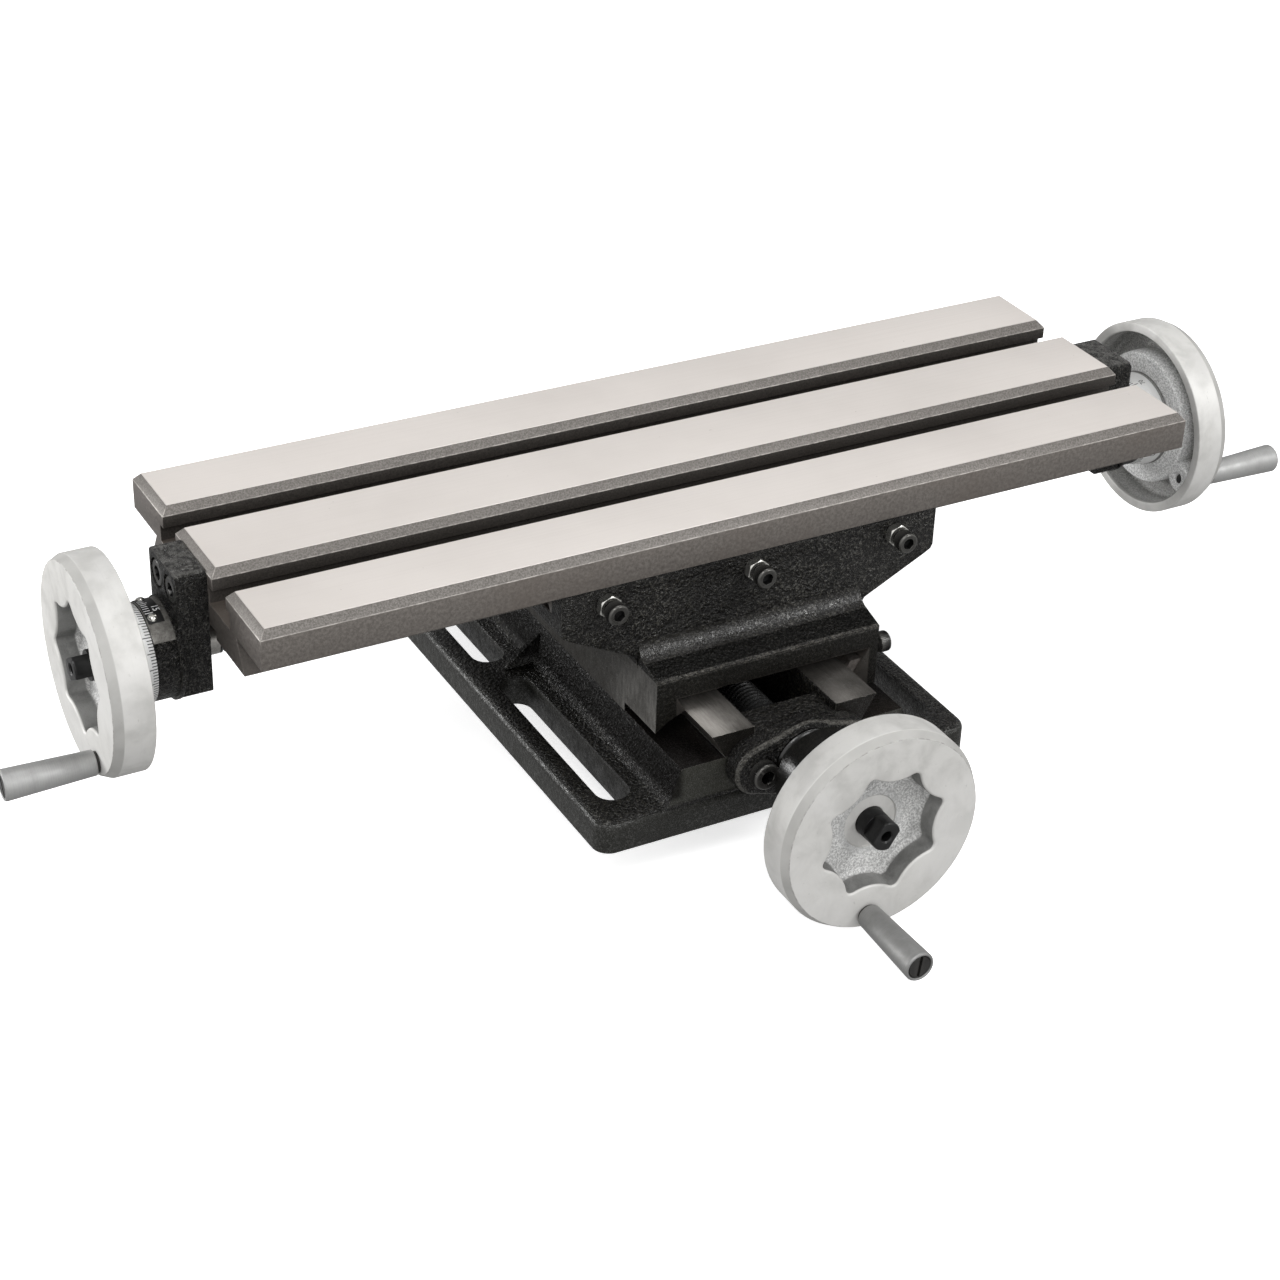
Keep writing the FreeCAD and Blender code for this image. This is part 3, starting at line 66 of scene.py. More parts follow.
# ------------------------------------------------------------------ materials
class Mat:
    """A node material in a few words. Coordinates are the model's own, in metres, or a turned piece's
    own axis frame where local is set."""

    def __init__(self, name, local=False):
        self.m = bpy.data.materials.new(name)
        self.m.use_nodes = True
        self.t = self.m.node_tree
        self.b = self.t.nodes["Principled BSDF"]
        if local:
            n = self.t.nodes.new("ShaderNodeAttribute")
            n.attribute_type = "GEOMETRY"
            n.attribute_name = "local"
            self.tc = n.outputs["Vector"]
        else:
            self.tc = self.t.nodes.new("ShaderNodeTexCoord").outputs["Object"]
        self.sep = None

    def put(self, sock, val):
        if isinstance(val, bpy.types.NodeSocket):
            self.t.links.new(val, sock)
        elif val is not None:
            if sock.type == "RGBA" and len(val) == 3:
                val = (*val, 1.0)
            sock.default_value = val

    def set(self, **kw):
        names = {"color": "Base Color", "rough": "Roughness", "metal": "Metallic", "normal": "Normal", "spec": "Specular IOR Level", "coat": "Coat Weight", "coat_rough": "Coat Roughness", "aniso": "Anisotropic"}
        for k, v in kw.items():
            self.put(self.b.inputs[names[k]], v)
        return self

    def xyz(self):
        if self.sep is None:
            n = self.t.nodes.new("ShaderNodeSeparateXYZ")
            self.t.links.new(self.tc, n.inputs[0])
            self.sep = n.outputs
        return self.sep

    def math(self, op, a, b=None, c=None, clamp=False):
        n = self.t.nodes.new("ShaderNodeMath")
        n.operation = op
        n.use_clamp = clamp
        for i, v in enumerate((a, b, c)):
            if v is not None:
                self.put(n.inputs[i], v)
        return n.outputs[0]

    def scaled(self, sx, sy, sz):
        n = self.t.nodes.new("ShaderNodeMapping")
        n.inputs["Scale"].default_value = (sx, sy, sz)
        self.t.links.new(self.tc, n.inputs["Vector"])
        return n.outputs[0]

    def noise(self, scale, detail=3.0, rough=0.55, vec=None, distort=0.0):
        n = self.t.nodes.new("ShaderNodeTexNoise")
        n.inputs["Scale"].default_value = scale
        n.inputs["Detail"].default_value = detail
        n.inputs["Roughness"].default_value = rough
        n.inputs["Distortion"].default_value = distort
        self.put(n.inputs["Vector"], vec if vec is not None else self.tc)
        return n.outputs["Fac"]

    def cells(self, scale, vec=None, feature="F1", smooth=0.0):
        n = self.t.nodes.new("ShaderNodeTexVoronoi")
        n.feature = feature
        n.inputs["Scale"].default_value = scale
        self.put(n.inputs["Vector"], vec if vec is not None else self.tc)
        return n.outputs["Distance"]

    def span(self, v, a, b, lo=0.0, hi=1.0, smooth=True):
        n = self.t.nodes.new("ShaderNodeMapRange")
        n.interpolation_type = "SMOOTHSTEP" if smooth else "LINEAR"
        n.clamp = True
        self.put(n.inputs["Value"], v)
        n.inputs["From Min"].default_value = a
        n.inputs["From Max"].default_value = b
        n.inputs["To Min"].default_value = lo
        n.inputs["To Max"].default_value = hi
        return n.outputs["Result"]

    def mix(self, f, a, b):
        n = self.t.nodes.new("ShaderNodeMix")
        n.data_type = "RGBA"
        self.put(n.inputs[0], f)
        self.put(n.inputs[6], a)
        self.put(n.inputs[7], b)
        return n.outputs[2]

    def mixf(self, f, a, b):
        n = self.t.nodes.new("ShaderNodeMix")
        n.data_type = "FLOAT"
        self.put(n.inputs[0], f)
        self.put(n.inputs[2], a)
        self.put(n.inputs[3], b)
        return n.outputs[0]

    def bump(self, height, dist, strength=1.0, normal=None):
        n = self.t.nodes.new("ShaderNodeBump")
        n.inputs["Strength"].default_value = strength
        n.inputs["Distance"].default_value = dist
        self.put(n.inputs["Height"], height)
        if normal is not None:
            self.put(n.inputs["Normal"], normal)
        return n.outputs[0]

    def worn(self, broken=0.5, scale=260.0):
        """Mask of the small faces that round a casting's edges, broken up by noise."""
        n = self.t.nodes.new("ShaderNodeAttribute")
        n.attribute_type = "GEOMETRY"
        n.attribute_name = "wear"
        brk = self.span(self.noise(scale, 3.0, 0.6), 0.42, 0.62, 1.0 - broken, 1.0)
        return self.math("MULTIPLY", n.outputs["Fac"], brk)


def rims(m):
    """Painted highlight on the rims of small turned pieces, from the surface's pointiness."""
    n = m.t.nodes.new("ShaderNodeNewGeometry")
    return m.span(n.outputs["Pointiness"], 0.505, 0.58)


def srgb(r, g=None, b=None):
    g = r if g is None else g
    b = r if b is None else b
    return tuple(((c / 255) / 12.92 if c / 255 <= 0.04045 else ((c / 255 + 0.055) / 1.055) ** 2.4) for c in (r, g, b))


def cast_height(m, size=1.0, wrinkle=0.0):
    """Height of rough painted sand casting: rounded pebbles of a millimetre or so over a slack wave."""
    peb = m.noise(640 / size, 2.0, 0.55, None, 0.3)
    fine = m.noise(1700 / size, 2.0, 0.6)
    slack = m.noise(70 / size, 2.0, 0.5)
    h = m.math("ADD", m.math("MULTIPLY", m.span(peb, 0.30, 0.70), 1.0), m.math("MULTIPLY", fine, 0.35))
    if wrinkle:
        w = m.noise(420 / size, 2.0, 0.5, None, 1.4)
        ridge = m.span(m.math("ABSOLUTE", m.math("SUBTRACT", w, 0.5)), 0.0, 0.09)
        h = m.math("ADD", h, m.math("MULTIPLY", ridge, wrinkle))
    return m.math("ADD", h, m.math("MULTIPLY", slack, 2.0)), peb


def black_cast(name, rough=0.38, tone=12, bump=0.00042, size=1.0, wrinkle=0.0, spec=0.5, lift=46):
    m = Mat(name)
    h, peb = cast_height(m, size, wrinkle)
    patch = m.noise(30, 4.0, 0.6)
    speck = m.noise(1300 / size, 3.0, 0.75)
    grit = m.noise(2300 / size, 2.0, 0.7)
    col = m.mix(m.span(patch, 0.35, 0.7), srgb(tone - 5, tone - 6, tone - 7), srgb(tone + 5, tone + 4, tone + 2))
    # the tops of the pebbles are painted lighter: partly rubbed wear, partly a painted glint; they also glint through
    # the specular level
    rub = m.math("MULTIPLY", m.span(peb, 0.44, 0.60), m.span(speck, 0.49, 0.57))
    rub = m.math("MULTIPLY", rub, m.span(m.noise(24, 3.0, 0.6), 0.3, 0.65, 0.35, 1.0))
    col = m.mix(rub, col, srgb(tone + lift + 2, tone + lift, tone + lift - 7))
    col = m.mix(m.math("MULTIPLY", m.worn(0.8), 0.8), col, srgb(96, 93, 88))
    m.rub = rub
    m.speclo, m.spechi = 0.16 * spec / 0.5, 1.0 * spec / 0.5
    glint = m.math("MAXIMUM", rub, m.math("MULTIPLY", m.span(grit, 0.50, 0.62), 0.75))
    m.glint = glint
    m.set(color=col, rough=m.span(m.noise(260, 3.0), 0.3, 0.7, rough - 0.10, rough + 0.12), spec=m.span(glint, 0.0, 1.0, m.speclo, m.spechi))
    m.set(normal=m.bump(h, bump, 1.0))
    m.height = h
    return m


def ground_look(m, along="x"):
    """Colour, roughness and bump of a ground or scraped iron way, with marks along one axis."""
    v = m.scaled(4, 900, 900) if along == "x" else m.scaled(900, 4, 900)
    marks = m.noise(1.0, 5.0, 0.7, v)
    return marks


def table_material():
    m = Mat("table_ground_iron")
    x, y, z = m.xyz()[0], m.xyz()[1], m.xyz()[2]
    grain = m.noise(1250, 4.0, 0.7)
    blot = m.noise(7, 4.0, 0.6)
    marks = ground_look(m, "x")
    pits = m.noise(420, 2.0, 0.5)
    top = m.span(z, 0.12975, 0.12990)
    # ground top, with a faint warm cast, hazy patches and a few dark pinholes
    c_top = m.mix(m.span(blot, 0.3, 0.75), srgb(214, 208, 203), srgb(202, 196, 191))
    c_top = m.mix(m.math("MULTIPLY", m.span(marks, 0.48, 0.66), 0.10), c_top, srgb(188, 181, 176))
    c_top = m.mix(m.math("MULTIPLY", m.span(pits, 0.775, 0.80), 0.45), c_top, srgb(120, 112, 106))
    # milled chamfers
    c_ch = m.mix(m.span(grain, 0.35, 0.68), srgb(86, 82, 78), srgb(120, 116, 112))
    # milled sides with a light brown cast
    side = m.noise(620, 5.0, 0.72)
    c_side = m.mix(m.span(side, 0.34, 0.70), srgb(86, 81, 77), srgb(112, 107, 102))
    c_side = m.mix(m.math("MULTIPLY", m.span(m.noise(16, 4.0, 0.6), 0.45, 0.75), 0.55), c_side, srgb(92, 84, 78))
    # the two ends are rougher and darker
    endf = m.span(m.math("ABSOLUTE", x), 0.23530, 0.23540)
    c_side = m.mix(m.math("MULTIPLY", endf, 0.65), c_side, m.mix(m.span(side, 0.3, 0.7), srgb(58, 53, 50), srgb(96, 91, 87)))
    # slots: dark from oil and from painted shade, with a browner floor
    off = m.math("ABSOLUTE", m.math("SUBTRACT", m.math("ABSOLUTE", m.math("ADD", y, 0.021)), 0.0301))
    in_slot = m.math("MULTIPLY", m.span(off, 0.0128, 0.0122), m.span(z, 0.1264, 0.1260))
    in_slot = m.math("MULTIPLY", in_slot, m.math("SUBTRACT", 1.0, m.math("MULTIPLY", endf, 0.9)))
    floor = m.math("MULTIPLY", in_slot, m.span(z, 0.1128, 0.1124))
    c_slot_oil_shade = m.mix(m.span(grain, 0.3, 0.7), srgb(46, 43, 40), srgb(68, 64, 60))
    c_slot_oil_shade = m.mix(floor, c_slot_oil_shade, srgb(88, 81, 75))
    low = m.span(z, 0.12630, 0.12600)
    # painted shade: the dovetail under the slab is darkened as if in the slab's shadow
    under = m.math("MULTIPLY", m.span(z, 0.1112, 0.1108), m.math("SUBTRACT", 1.0, endf))
    c_side = m.mix(m.math("MULTIPLY", under, 0.55), c_side, srgb(52, 47, 43))
    col = m.mix(low, c_ch, c_side)
    col = m.mix(in_slot, col, c_slot_oil_shade)
    col = m.mix(top, col, c_top)
    rim = m.math("MULTIPLY", m.worn(0.6), m.span(z, 0.1240, 0.1256, 0.12, 0.60))
    col = m.mix(rim, col, srgb(178, 173, 168))
    r = m.mixf(low, m.span(grain, 0.3, 0.7, 0.42, 0.55), m.span(side, 0.3, 0.7, 0.46, 0.64))
    r = m.mixf(top, r, m.span(marks, 0.35, 0.65, 0.36, 0.44))
    metal = m.mixf(top, m.mixf(low, 0.45, 0.35), 0.30)
    h = m.mixf(top, m.mixf(low, m.math("MULTIPLY", grain, 1.0), m.math("MULTIPLY", side, 2.0)), m.math("MULTIPLY", marks, 0.06))
    m.set(color=col, rough=r, metal=metal, normal=m.bump(h, 0.00006, 1.0))
    return m.m


def saddle_material():
    m = black_cast("saddle_black_casting", 0.36, 10, 0.00050, 0.85)
    x, y, z = m.xyz()[0], m.xyz()[1], m.xyz()[2]
    # machined dovetails and slot floors are bare iron
    base = m.b.inputs["Base Color"].links[0].from_socket
    yy = m.math("ABSOLUTE", m.math("ADD", y, 0.021 + 0.003))
    inner = m.math("MULTIPLY", m.span(yy, 0.0618, 0.0612), m.span(z, 0.0966, 0.0970))
    xx = m.math("ABSOLUTE", m.math("SUBTRACT", x, 0.0031))
    under = m.math("MULTIPLY", m.span(z, 0.0556, 0.0552), m.span(xx, 0.0510, 0.0505))
    bare = m.math("MAXIMUM", inner, under)
    marks = m.noise(1.0, 4.0, 0.6, m.scaled(40, 900, 900))
    col = m.mix(bare, base, m.mix(marks, srgb(84, 80, 76), srgb(116, 111, 106)))
    # the lower block's end faces are milled and only thinly painted, its left side is milled bare
    ends = m.math("MULTIPLY", m.span(m.math("ABSOLUTE", m.math("ADD", y, 0.021)), 0.09185, 0.09195), m.span(z, 0.0655, 0.0650))
    side = m.math("MULTIPLY", m.span(x, -0.0576, -0.0579), m.span(z, 0.0660, 0.0656))
    side = m.math("MULTIPLY", side, m.span(m.math("ABSOLUTE", m.math("ADD", y, 0.021)), 0.0921, 0.0919))
    mill = m.noise(1.0, 4.0, 0.65, m.scaled(500, 500, 120))
    smear = m.noise(55, 4.0, 0.6)
    col = m.mix(m.math("MULTIPLY", ends, 0.45), col, srgb(34, 33, 30))
    c_side = m.mix(m.span(mill, 0.3, 0.7), srgb(88, 87, 84), srgb(124, 122, 119))
    # painted shade: the milled side is darkened towards its top and towards the back
    c_side = m.mix(m.span(z, 0.0420, 0.0640, 0.0, 0.55), c_side, srgb(40, 39, 37))
    c_side = m.mix(m.span(y, -0.1080, -0.0600, 0.0, 0.82), c_side, srgb(34, 33, 31))
    c_side = m.mix(m.math("MULTIPLY", m.span(smear, 0.45, 0.7), 0.45), c_side, srgb(44, 42, 39))
    col = m.mix(m.math("MULTIPLY", side, 0.9), col, c_side)
    # painted shade: the ledge on top of the lower block is darkened almost to black
    ledge = m.math("MULTIPLY", m.span(z, 0.0655, 0.0662), m.span(z, 0.0715, 0.0700))
    ledge = m.math("MULTIPLY", ledge, m.span(m.math("ABSOLUTE", m.math("ADD", y, 0.021)), 0.0770, 0.0815))
    ledge = m.math("MULTIPLY", ledge, m.span(m.math("ABSOLUTE", x), 0.0580, 0.0570))
    ledge = m.math("MULTIPLY", ledge, m.span(m.math("ABSOLUTE", m.math("ADD", y, 0.021)), 0.0910, 0.0903))
    edge = m.math("MULTIPLY", m.span(m.math("ABSOLUTE", m.math("ADD", y, 0.021)), 0.0903, 0.0909), m.math("MULTIPLY", m.span(z, 0.0645, 0.0650), m.span(z, 0.0668, 0.0664)))
    edge = m.math("MULTIPLY", edge, m.span(m.noise(620, 5.0, 0.75), 0.46, 0.62, 0.05, 1.0))
    col = m.mix(m.math("MULTIPLY", ledge, 0.72), col, srgb(5, 5, 4))
    # painted shade: the lower block's front faces are darkened
    low = m.math("MULTIPLY", m.span(z, 0.0647, 0.0641), m.math("SUBTRACT", 1.0, side))
    col = m.mix(m.math("MULTIPLY", low, 0.35), col, srgb(8, 8, 7))
    col = m.mix(m.math("MULTIPLY", edge, 0.60), col, srgb(104, 101, 95))
    spec = m.b.inputs["Specular IOR Level"].links[0].from_socket
    dim = m.math("SUBTRACT", 1.0, m.math("MULTIPLY", m.math("MAXIMUM", m.math("MAXIMUM", ledge, low), side), 0.62))
    m.set(color=col, metal=m.math("MULTIPLY", bare, 0.6), spec=m.math("MULTIPLY", spec, dim))
    k = m.math("SUBTRACT", 1.0, m.math("MAXIMUM", m.math("MULTIPLY", m.math("MAXIMUM", bare, side), 0.93), m.math("MULTIPLY", ends, 0.5)))
    m.set(normal=m.bump(m.math("MULTIPLY", m.height, k), 0.00050, 1.0))
    return m.m


def base_material():
    m = black_cast("base_black_casting", 0.38, 12, 0.00042, 1.0, lift=36)
    x, y, z = m.xyz()[0], m.xyz()[1], m.xyz()[2]
    base = m.b.inputs["Base Color"].links[0].from_socket
    rough = m.b.inputs["Roughness"].links[0].from_socket
    ax = m.math("ABSOLUTE", x)
    # rails above the ways are ground; the ways beside them are milled, oily and further darkened as painted shade
    rails = m.math("MULTIPLY", m.span(z, 0.0352, 0.0356), m.span(ax, 0.0212, 0.0214))
    ways = m.math("MULTIPLY", m.math("MULTIPLY", m.span(z, 0.03494, 0.03499), m.span(z, 0.0352, 0.0351)), m.span(ax, 0.0352, 0.0356))
    bare = m.math("MAXIMUM", rails, ways)
    marks = m.noise(1.0, 5.0, 0.7, m.scaled(900, 120, 900))
    tarn = m.noise(28, 3.0, 0.5)
    c = m.mix(m.span(marks, 0.3, 0.7), srgb(96, 93, 89), srgb(118, 115, 111))
    c = m.mix(m.math("MULTIPLY", m.span(tarn, 0.36, 0.62), 0.80), c, srgb(54, 52, 49))
    # painted shade: the right rail and the rails' outer sides are darkened
    rail_shade = m.math("MAXIMUM", m.span(x, 0.000, 0.050, 0.0, 0.62), m.span(ax, 0.040, 0.049, 0.0, 0.45))
    c = m.mix(rail_shade, c, srgb(46, 44, 42))
    # the ways' near-black colour is partly oil and partly painted shade
    w = m.mix(m.span(tarn, 0.35, 0.7), srgb(13, 11, 10), srgb(28, 25, 22))
    front = m.span(m.math("ABSOLUTE", y), 0.13685, 0.13695)
    # painted shade: the rails' sides below their ground tops are darkened by half
    c = m.mix(m.span(z, 0.0470, 0.0473), m.mix(0.5, c, srgb(60, 54, 50)), c)
    c = m.mix(ways, c, w)
    c = m.mix(front, c, m.mix(m.span(marks, 0.3, 0.7), srgb(18, 17, 15), srgb(32, 30, 27)))
    # bright bruised rims where ground faces meet
    c = m.mix(m.math("MULTIPLY", m.worn(0.55), 0.9), c, srgb(190, 184, 176))
    edge = m.span(z, 0.0146, 0.0143)
    plain = m.math("MAXIMUM", edge, m.math("MULTIPLY", front, m.span(z, 0.016, 0.018)))
    base = m.mix(m.math("MULTIPLY", plain, 0.75), base, m.mix(edge, srgb(50, 50, 45), srgb(36, 36, 33)))
    # painted shade: the body's sloping sides above the flange are darkened almost to black
    body = m.math("MULTIPLY", m.span(z, 0.0185, 0.0215), m.span(m.math("ABSOLUTE", x), 0.055, 0.059))
    base = m.mix(m.math("MULTIPLY", body, 0.80), base, srgb(9, 8, 7))
    col = m.mix(bare, base, c)
    metal = m.math("MULTIPLY", bare, m.math("SUBTRACT", m.mixf(ways, 0.7, 0.35), m.math("MULTIPLY", front, 0.3)))
    nose = m.math("MULTIPLY", m.math("MULTIPLY", m.span(m.math("ABSOLUTE", y), 0.1360, 0.1363), m.span(z, 0.0340, 0.0343)), m.math("MULTIPLY", m.span(z, 0.0353, 0.0351), m.worn(0.45)))
    col = m.mix(m.math("MULTIPLY", nose, 0.9), col, srgb(150, 145, 138))
    spec = m.b.inputs["Specular IOR Level"].links[0].from_socket
    dim = m.math("SUBTRACT", 1.0, m.math("MULTIPLY", body, 0.68))
    m.set(color=col, metal=metal, rough=m.mixf(bare, rough, m.span(marks, 0.3, 0.7, 0.30, 0.40)), spec=m.math("MULTIPLY", spec, dim))
    # the base's end faces are smoother under their paint
    smooth = plain
    k = m.math("SUBTRACT", 1.0, m.math("MAXIMUM", m.math("MULTIPLY", smooth, 0.75), m.math("MULTIPLY", bare, 0.97)))
    m.set(normal=m.bump(m.math("MULTIPLY", m.height, k), 0.00046, 1.0))
    return m.m


def bracket_material():
    """The roughest castings: thick wrinkled paint, with the drum turned smooth."""
    m = black_cast("bracket_black_casting", 0.36, 9, 0.00060, 0.9, 0.55)
    x, y, z = m.xyz()[0], m.xyz()[1], m.xyz()[2]
    drum = m.span(y, -0.1488, -0.1492)
    yl = m.math("ADD", y, 0.021)
    zl = m.math("SUBTRACT", z, 0.0848)
    rl = m.math("SQRT", m.math("ADD", m.math("MULTIPLY", yl, yl), m.math("MULTIPLY", zl, zl)))
    seat = m.math("MULTIPLY", m.math("MULTIPLY", m.span(rl, 0.02205, 0.02215), m.span(rl, 0.02290, 0.02275)), m.span(m.math("ABSOLUTE", x), 0.2496, 0.2498))
    zc = m.math("SUBTRACT", z, 0.0304)
    rc = m.math("SQRT", m.math("ADD", m.math("MULTIPLY", x, x), m.math("MULTIPLY", zc, zc)))
    seat2 = m.math("MULTIPLY", m.math("MULTIPLY", m.span(rc, 0.02205, 0.02215), m.span(rc, 0.02290, 0.02275)), m.span(y, -0.1700, -0.1710))
    seat = m.math("MAXIMUM", seat, seat2)
    k = m.math("SUBTRACT", 1.0, m.math("MAXIMUM", m.math("MULTIPLY", drum, 0.97), m.math("MULTIPLY", seat, 0.96)))
    base = m.b.inputs["Base Color"].links[0].from_socket
    rough = m.b.inputs["Roughness"].links[0].from_socket
    spec = m.b.inputs["Specular IOR Level"].links[0].from_socket
    grey = m.mix(m.span(m.noise(420, 4.0, 0.65), 0.35, 0.68), srgb(84, 82, 78), srgb(112, 110, 106))
    # painted highlight: the cross bracket flange's rounded front edge is lightened, broken up by noise
    flange_rim_highlight = m.math("MULTIPLY", m.span(y, -0.1455, -0.1460), m.span(y, -0.14795, -0.1477))
    flange_rim_highlight = m.math("MULTIPLY", flange_rim_highlight, m.span(m.noise(700, 4.0, 0.7), 0.36, 0.60, 0.25, 1.0))
    base = m.mix(m.math("MULTIPLY", flange_rim_highlight, 0.8), base, srgb(96, 94, 89))
    # painted highlight: the end brackets' top faces are lightened in a broken pattern
    lit = m.math("MULTIPLY", m.span(z, 0.1262, 0.1268), m.span(m.noise(300, 4.0, 0.65), 0.36, 0.62))
    base = m.mix(m.math("MULTIPLY", lit, 0.75), base, srgb(92, 91, 88))
    col = m.mix(m.math("MULTIPLY", drum, 0.75), base, srgb(15, 15, 14))
    m.set(color=m.mix(seat, col, grey), rough=m.mixf(drum, rough, 0.24), spec=m.mixf(drum, spec, 0.62), metal=m.math("MULTIPLY", seat, 0.5))
    m.set(normal=m.bump(m.math("MULTIPLY", m.height, k), 0.00060, 1.0))
    return m.m


def wheel_material():
    """Turned aluminium; the star pocket's floor and the dished back are sand cast."""
    m = Mat("handwheel_aluminium", True)
    x, y, z = m.xyz()[0], m.xyz()[1], m.xyz()[2]
    r = m.math("SQRT", m.math("ADD", m.math("MULTIPLY", x, x), m.math("MULTIPLY", y, y)))
    # cast skin: pocket floor outside the spot face, and the back's cavities inside the rim
    floor = m.math("MULTIPLY", m.span(z, 0.0171, 0.0166), m.span(r, 0.01315, 0.0134))
    floor = m.math("MULTIPLY", floor, m.span(r, 0.0335, 0.0331))
    floor = m.math("MULTIPLY", floor, m.span(z, 0.0060, 0.0064))
    back = m.math("MULTIPLY", m.span(z, 0.0160, 0.0155), m.span(r, 0.0447, 0.0444))
    back = m.math("MULTIPLY", back, m.span(r, 0.0162, 0.0166))
    wall = m.math("MULTIPLY", m.math("MULTIPLY", m.span(z, 0.0176, 0.0170), m.span(z, 0.0085, 0.0095)), m.math("MULTIPLY", m.span(r, 0.0165, 0.0175), m.span(r, 0.0325, 0.0320)))
    cast = m.math("MAXIMUM", floor, back)
    sand = m.noise(1150, 4.0, 0.7)
    grit = m.cells(900)
    blot = m.noise(75, 4.0, 0.55, None, 0.3)
    wide = m.noise(26, 3.0, 0.5, None, 0.3)
    fleck = m.noise(480, 3.0, 0.6)
    # turning marks follow the radius on faces and the axis on the rim
    comb = m.t.nodes.new("ShaderNodeCombineXYZ")
    m.put(comb.inputs[0], m.math("MULTIPLY", r, 2600.0))
    m.put(comb.inputs[1], m.math("MULTIPLY", z, 2600.0))
    marks = m.noise(1.0, 3.0, 0.65, comb.outputs[0])
    c_turn = m.mix(m.span(blot, 0.36, 0.70), srgb(195, 194, 191), srgb(176, 175, 172))
    c_turn = m.mix(m.math("MULTIPLY", m.span(wide, 0.42, 0.66), 0.50), c_turn, srgb(206, 205, 203))
    # a thin dark line and small nicks where the face meets its chamfer
    nick = m.noise(170, 4.0, 0.7)
    line = m.math("MULTIPLY", m.span(m.math("ABSOLUTE", m.math("SUBTRACT", r, 0.04716)), 0.00030, 0.00012), m.span(z, 0.0172, 0.0176))
    line = m.math("MULTIPLY", line, m.span(nick, 0.40, 0.62, 0.25, 1.0))
    c_turn = m.mix(m.math("MULTIPLY", line, 0.7), c_turn, srgb(96, 94, 90))
    c_turn = m.mix(m.math("MULTIPLY", m.span(marks, 0.5, 0.7), 0.12), c_turn, srgb(176, 175, 172))
    c_turn = m.mix(m.math("MULTIPLY", m.span(fleck, 0.66, 0.74), 0.30), c_turn, srgb(158, 157, 153))
    # painted shade: the rim's chamfer is darker than the face
    bevel = m.math("MULTIPLY", m.span(z, 0.0138, 0.0143), m.span(r, 0.0471, 0.0474))
    c_turn = m.mix(m.math("MULTIPLY", bevel, 0.80), c_turn, m.mix(m.span(blot, 0.3, 0.7), srgb(150, 149, 146), srgb(170, 169, 166)))
    c_cast = m.mix(m.span(sand, 0.35, 0.68), srgb(158, 158, 157), srgb(202, 202, 201))
    c_back = m.mix(m.span(sand, 0.38, 0.64), srgb(176, 176, 175), srgb(240, 240, 239))
    # painted shade: the back's annular groove is darkened deeper into the groove
    groove_shade = m.span(z, 0.0030, 0.0120)
    c_back = m.mix(m.math("MULTIPLY", groove_shade, 0.72), c_back, m.mix(m.span(sand, 0.38, 0.64), srgb(84, 83, 80), srgb(150, 149, 146)))
    # painted shadow: a dark ring round the dial where it meets the back of the wheel
    ring = m.math("MULTIPLY", m.span(m.math("ABSOLUTE", m.math("SUBTRACT", r, 0.02375)), 0.00055, 0.00020), m.span(z, 0.0030, 0.0022))
    c_back = m.mix(m.math("MULTIPLY", ring, 0.8), c_back, srgb(84, 83, 80))
    c_cast = m.mix(back, c_cast, c_back)
    # painted shade: the rim's inner wall on the back is darkened
    inner = m.math("MULTIPLY", m.math("MULTIPLY", m.span(r, 0.0450, 0.0448), m.span(r, 0.0443, 0.04445)), m.math("MULTIPLY", m.span(z, 0.0012, 0.0020), m.span(z, 0.0142, 0.0138)))
    c_turn = m.mix(m.math("MULTIPLY", inner, 0.65), c_turn, m.mix(m.span(sand, 0.38, 0.64), srgb(96, 95, 92), srgb(150, 149, 146)))
    scuff = m.math("MULTIPLY", m.span(m.noise(1.0, 4.0, 0.6, m.scaled(150, 150, 420)), 0.70, 0.74), m.span(wide, 0.45, 0.60))
    c_turn = m.mix(m.math("MULTIPLY", scuff, 0.5), c_turn, srgb(140, 139, 136))
    # painted shade: the star pocket's walls are darker than the turned face
    c_wall_shade = m.mix(m.span(blot, 0.3, 0.7), srgb(92, 92, 90), srgb(126, 126, 124))
    col = m.mix(cast, c_turn, c_cast)
    col = m.mix(wall, col, c_wall_shade)
    rough = m.mixf(cast, m.span(blot, 0.3, 0.7, 0.54, 0.66), m.span(sand, 0.3, 0.7, 0.46, 0.66))
    h = m.mixf(cast, m.math("ADD", m.math("MULTIPLY", marks, 0.05), m.math("MULTIPLY", fleck, 0.30)), m.math("ADD", m.math("MULTIPLY", sand, 2.0), m.math("MULTIPLY", grit, 0.8)))
    m.set(color=col, rough=rough, metal=m.mixf(cast, 0.25, 0.10), normal=m.bump(h, 0.00012, 1.0))
    return m.m


def satin_aluminium(name, tone=190, rough=0.30, metal=0.9):
    m = Mat(name, True)
    x, y, z = m.xyz()[0], m.xyz()[1], m.xyz()[2]
    comb = m.t.nodes.new("ShaderNodeCombineXYZ")
    m.put(comb.inputs[1], m.math("MULTIPLY", z, 3000.0))
    marks = m.noise(1.0, 3.0, 0.6, comb.outputs[0])
    blot = m.noise(120, 4.0, 0.6)
    fine = m.noise(1300, 2.0, 0.6)
    col = m.mix(m.span(marks, 0.35, 0.65), srgb(tone - 5), srgb(tone + 5, tone + 5, tone + 3))
    col = m.mix(m.math("MULTIPLY", m.span(blot, 0.4, 0.7), 0.45), col, srgb(tone - 18, tone - 18, tone - 20))
    h = m.math("ADD", m.math("MULTIPLY", marks, 0.6), fine)
    m.set(color=col, rough=m.span(blot, 0.3, 0.7, rough - 0.03, rough + 0.10), metal=metal, normal=m.bump(h, 0.00002, 1.0))
    return m.m


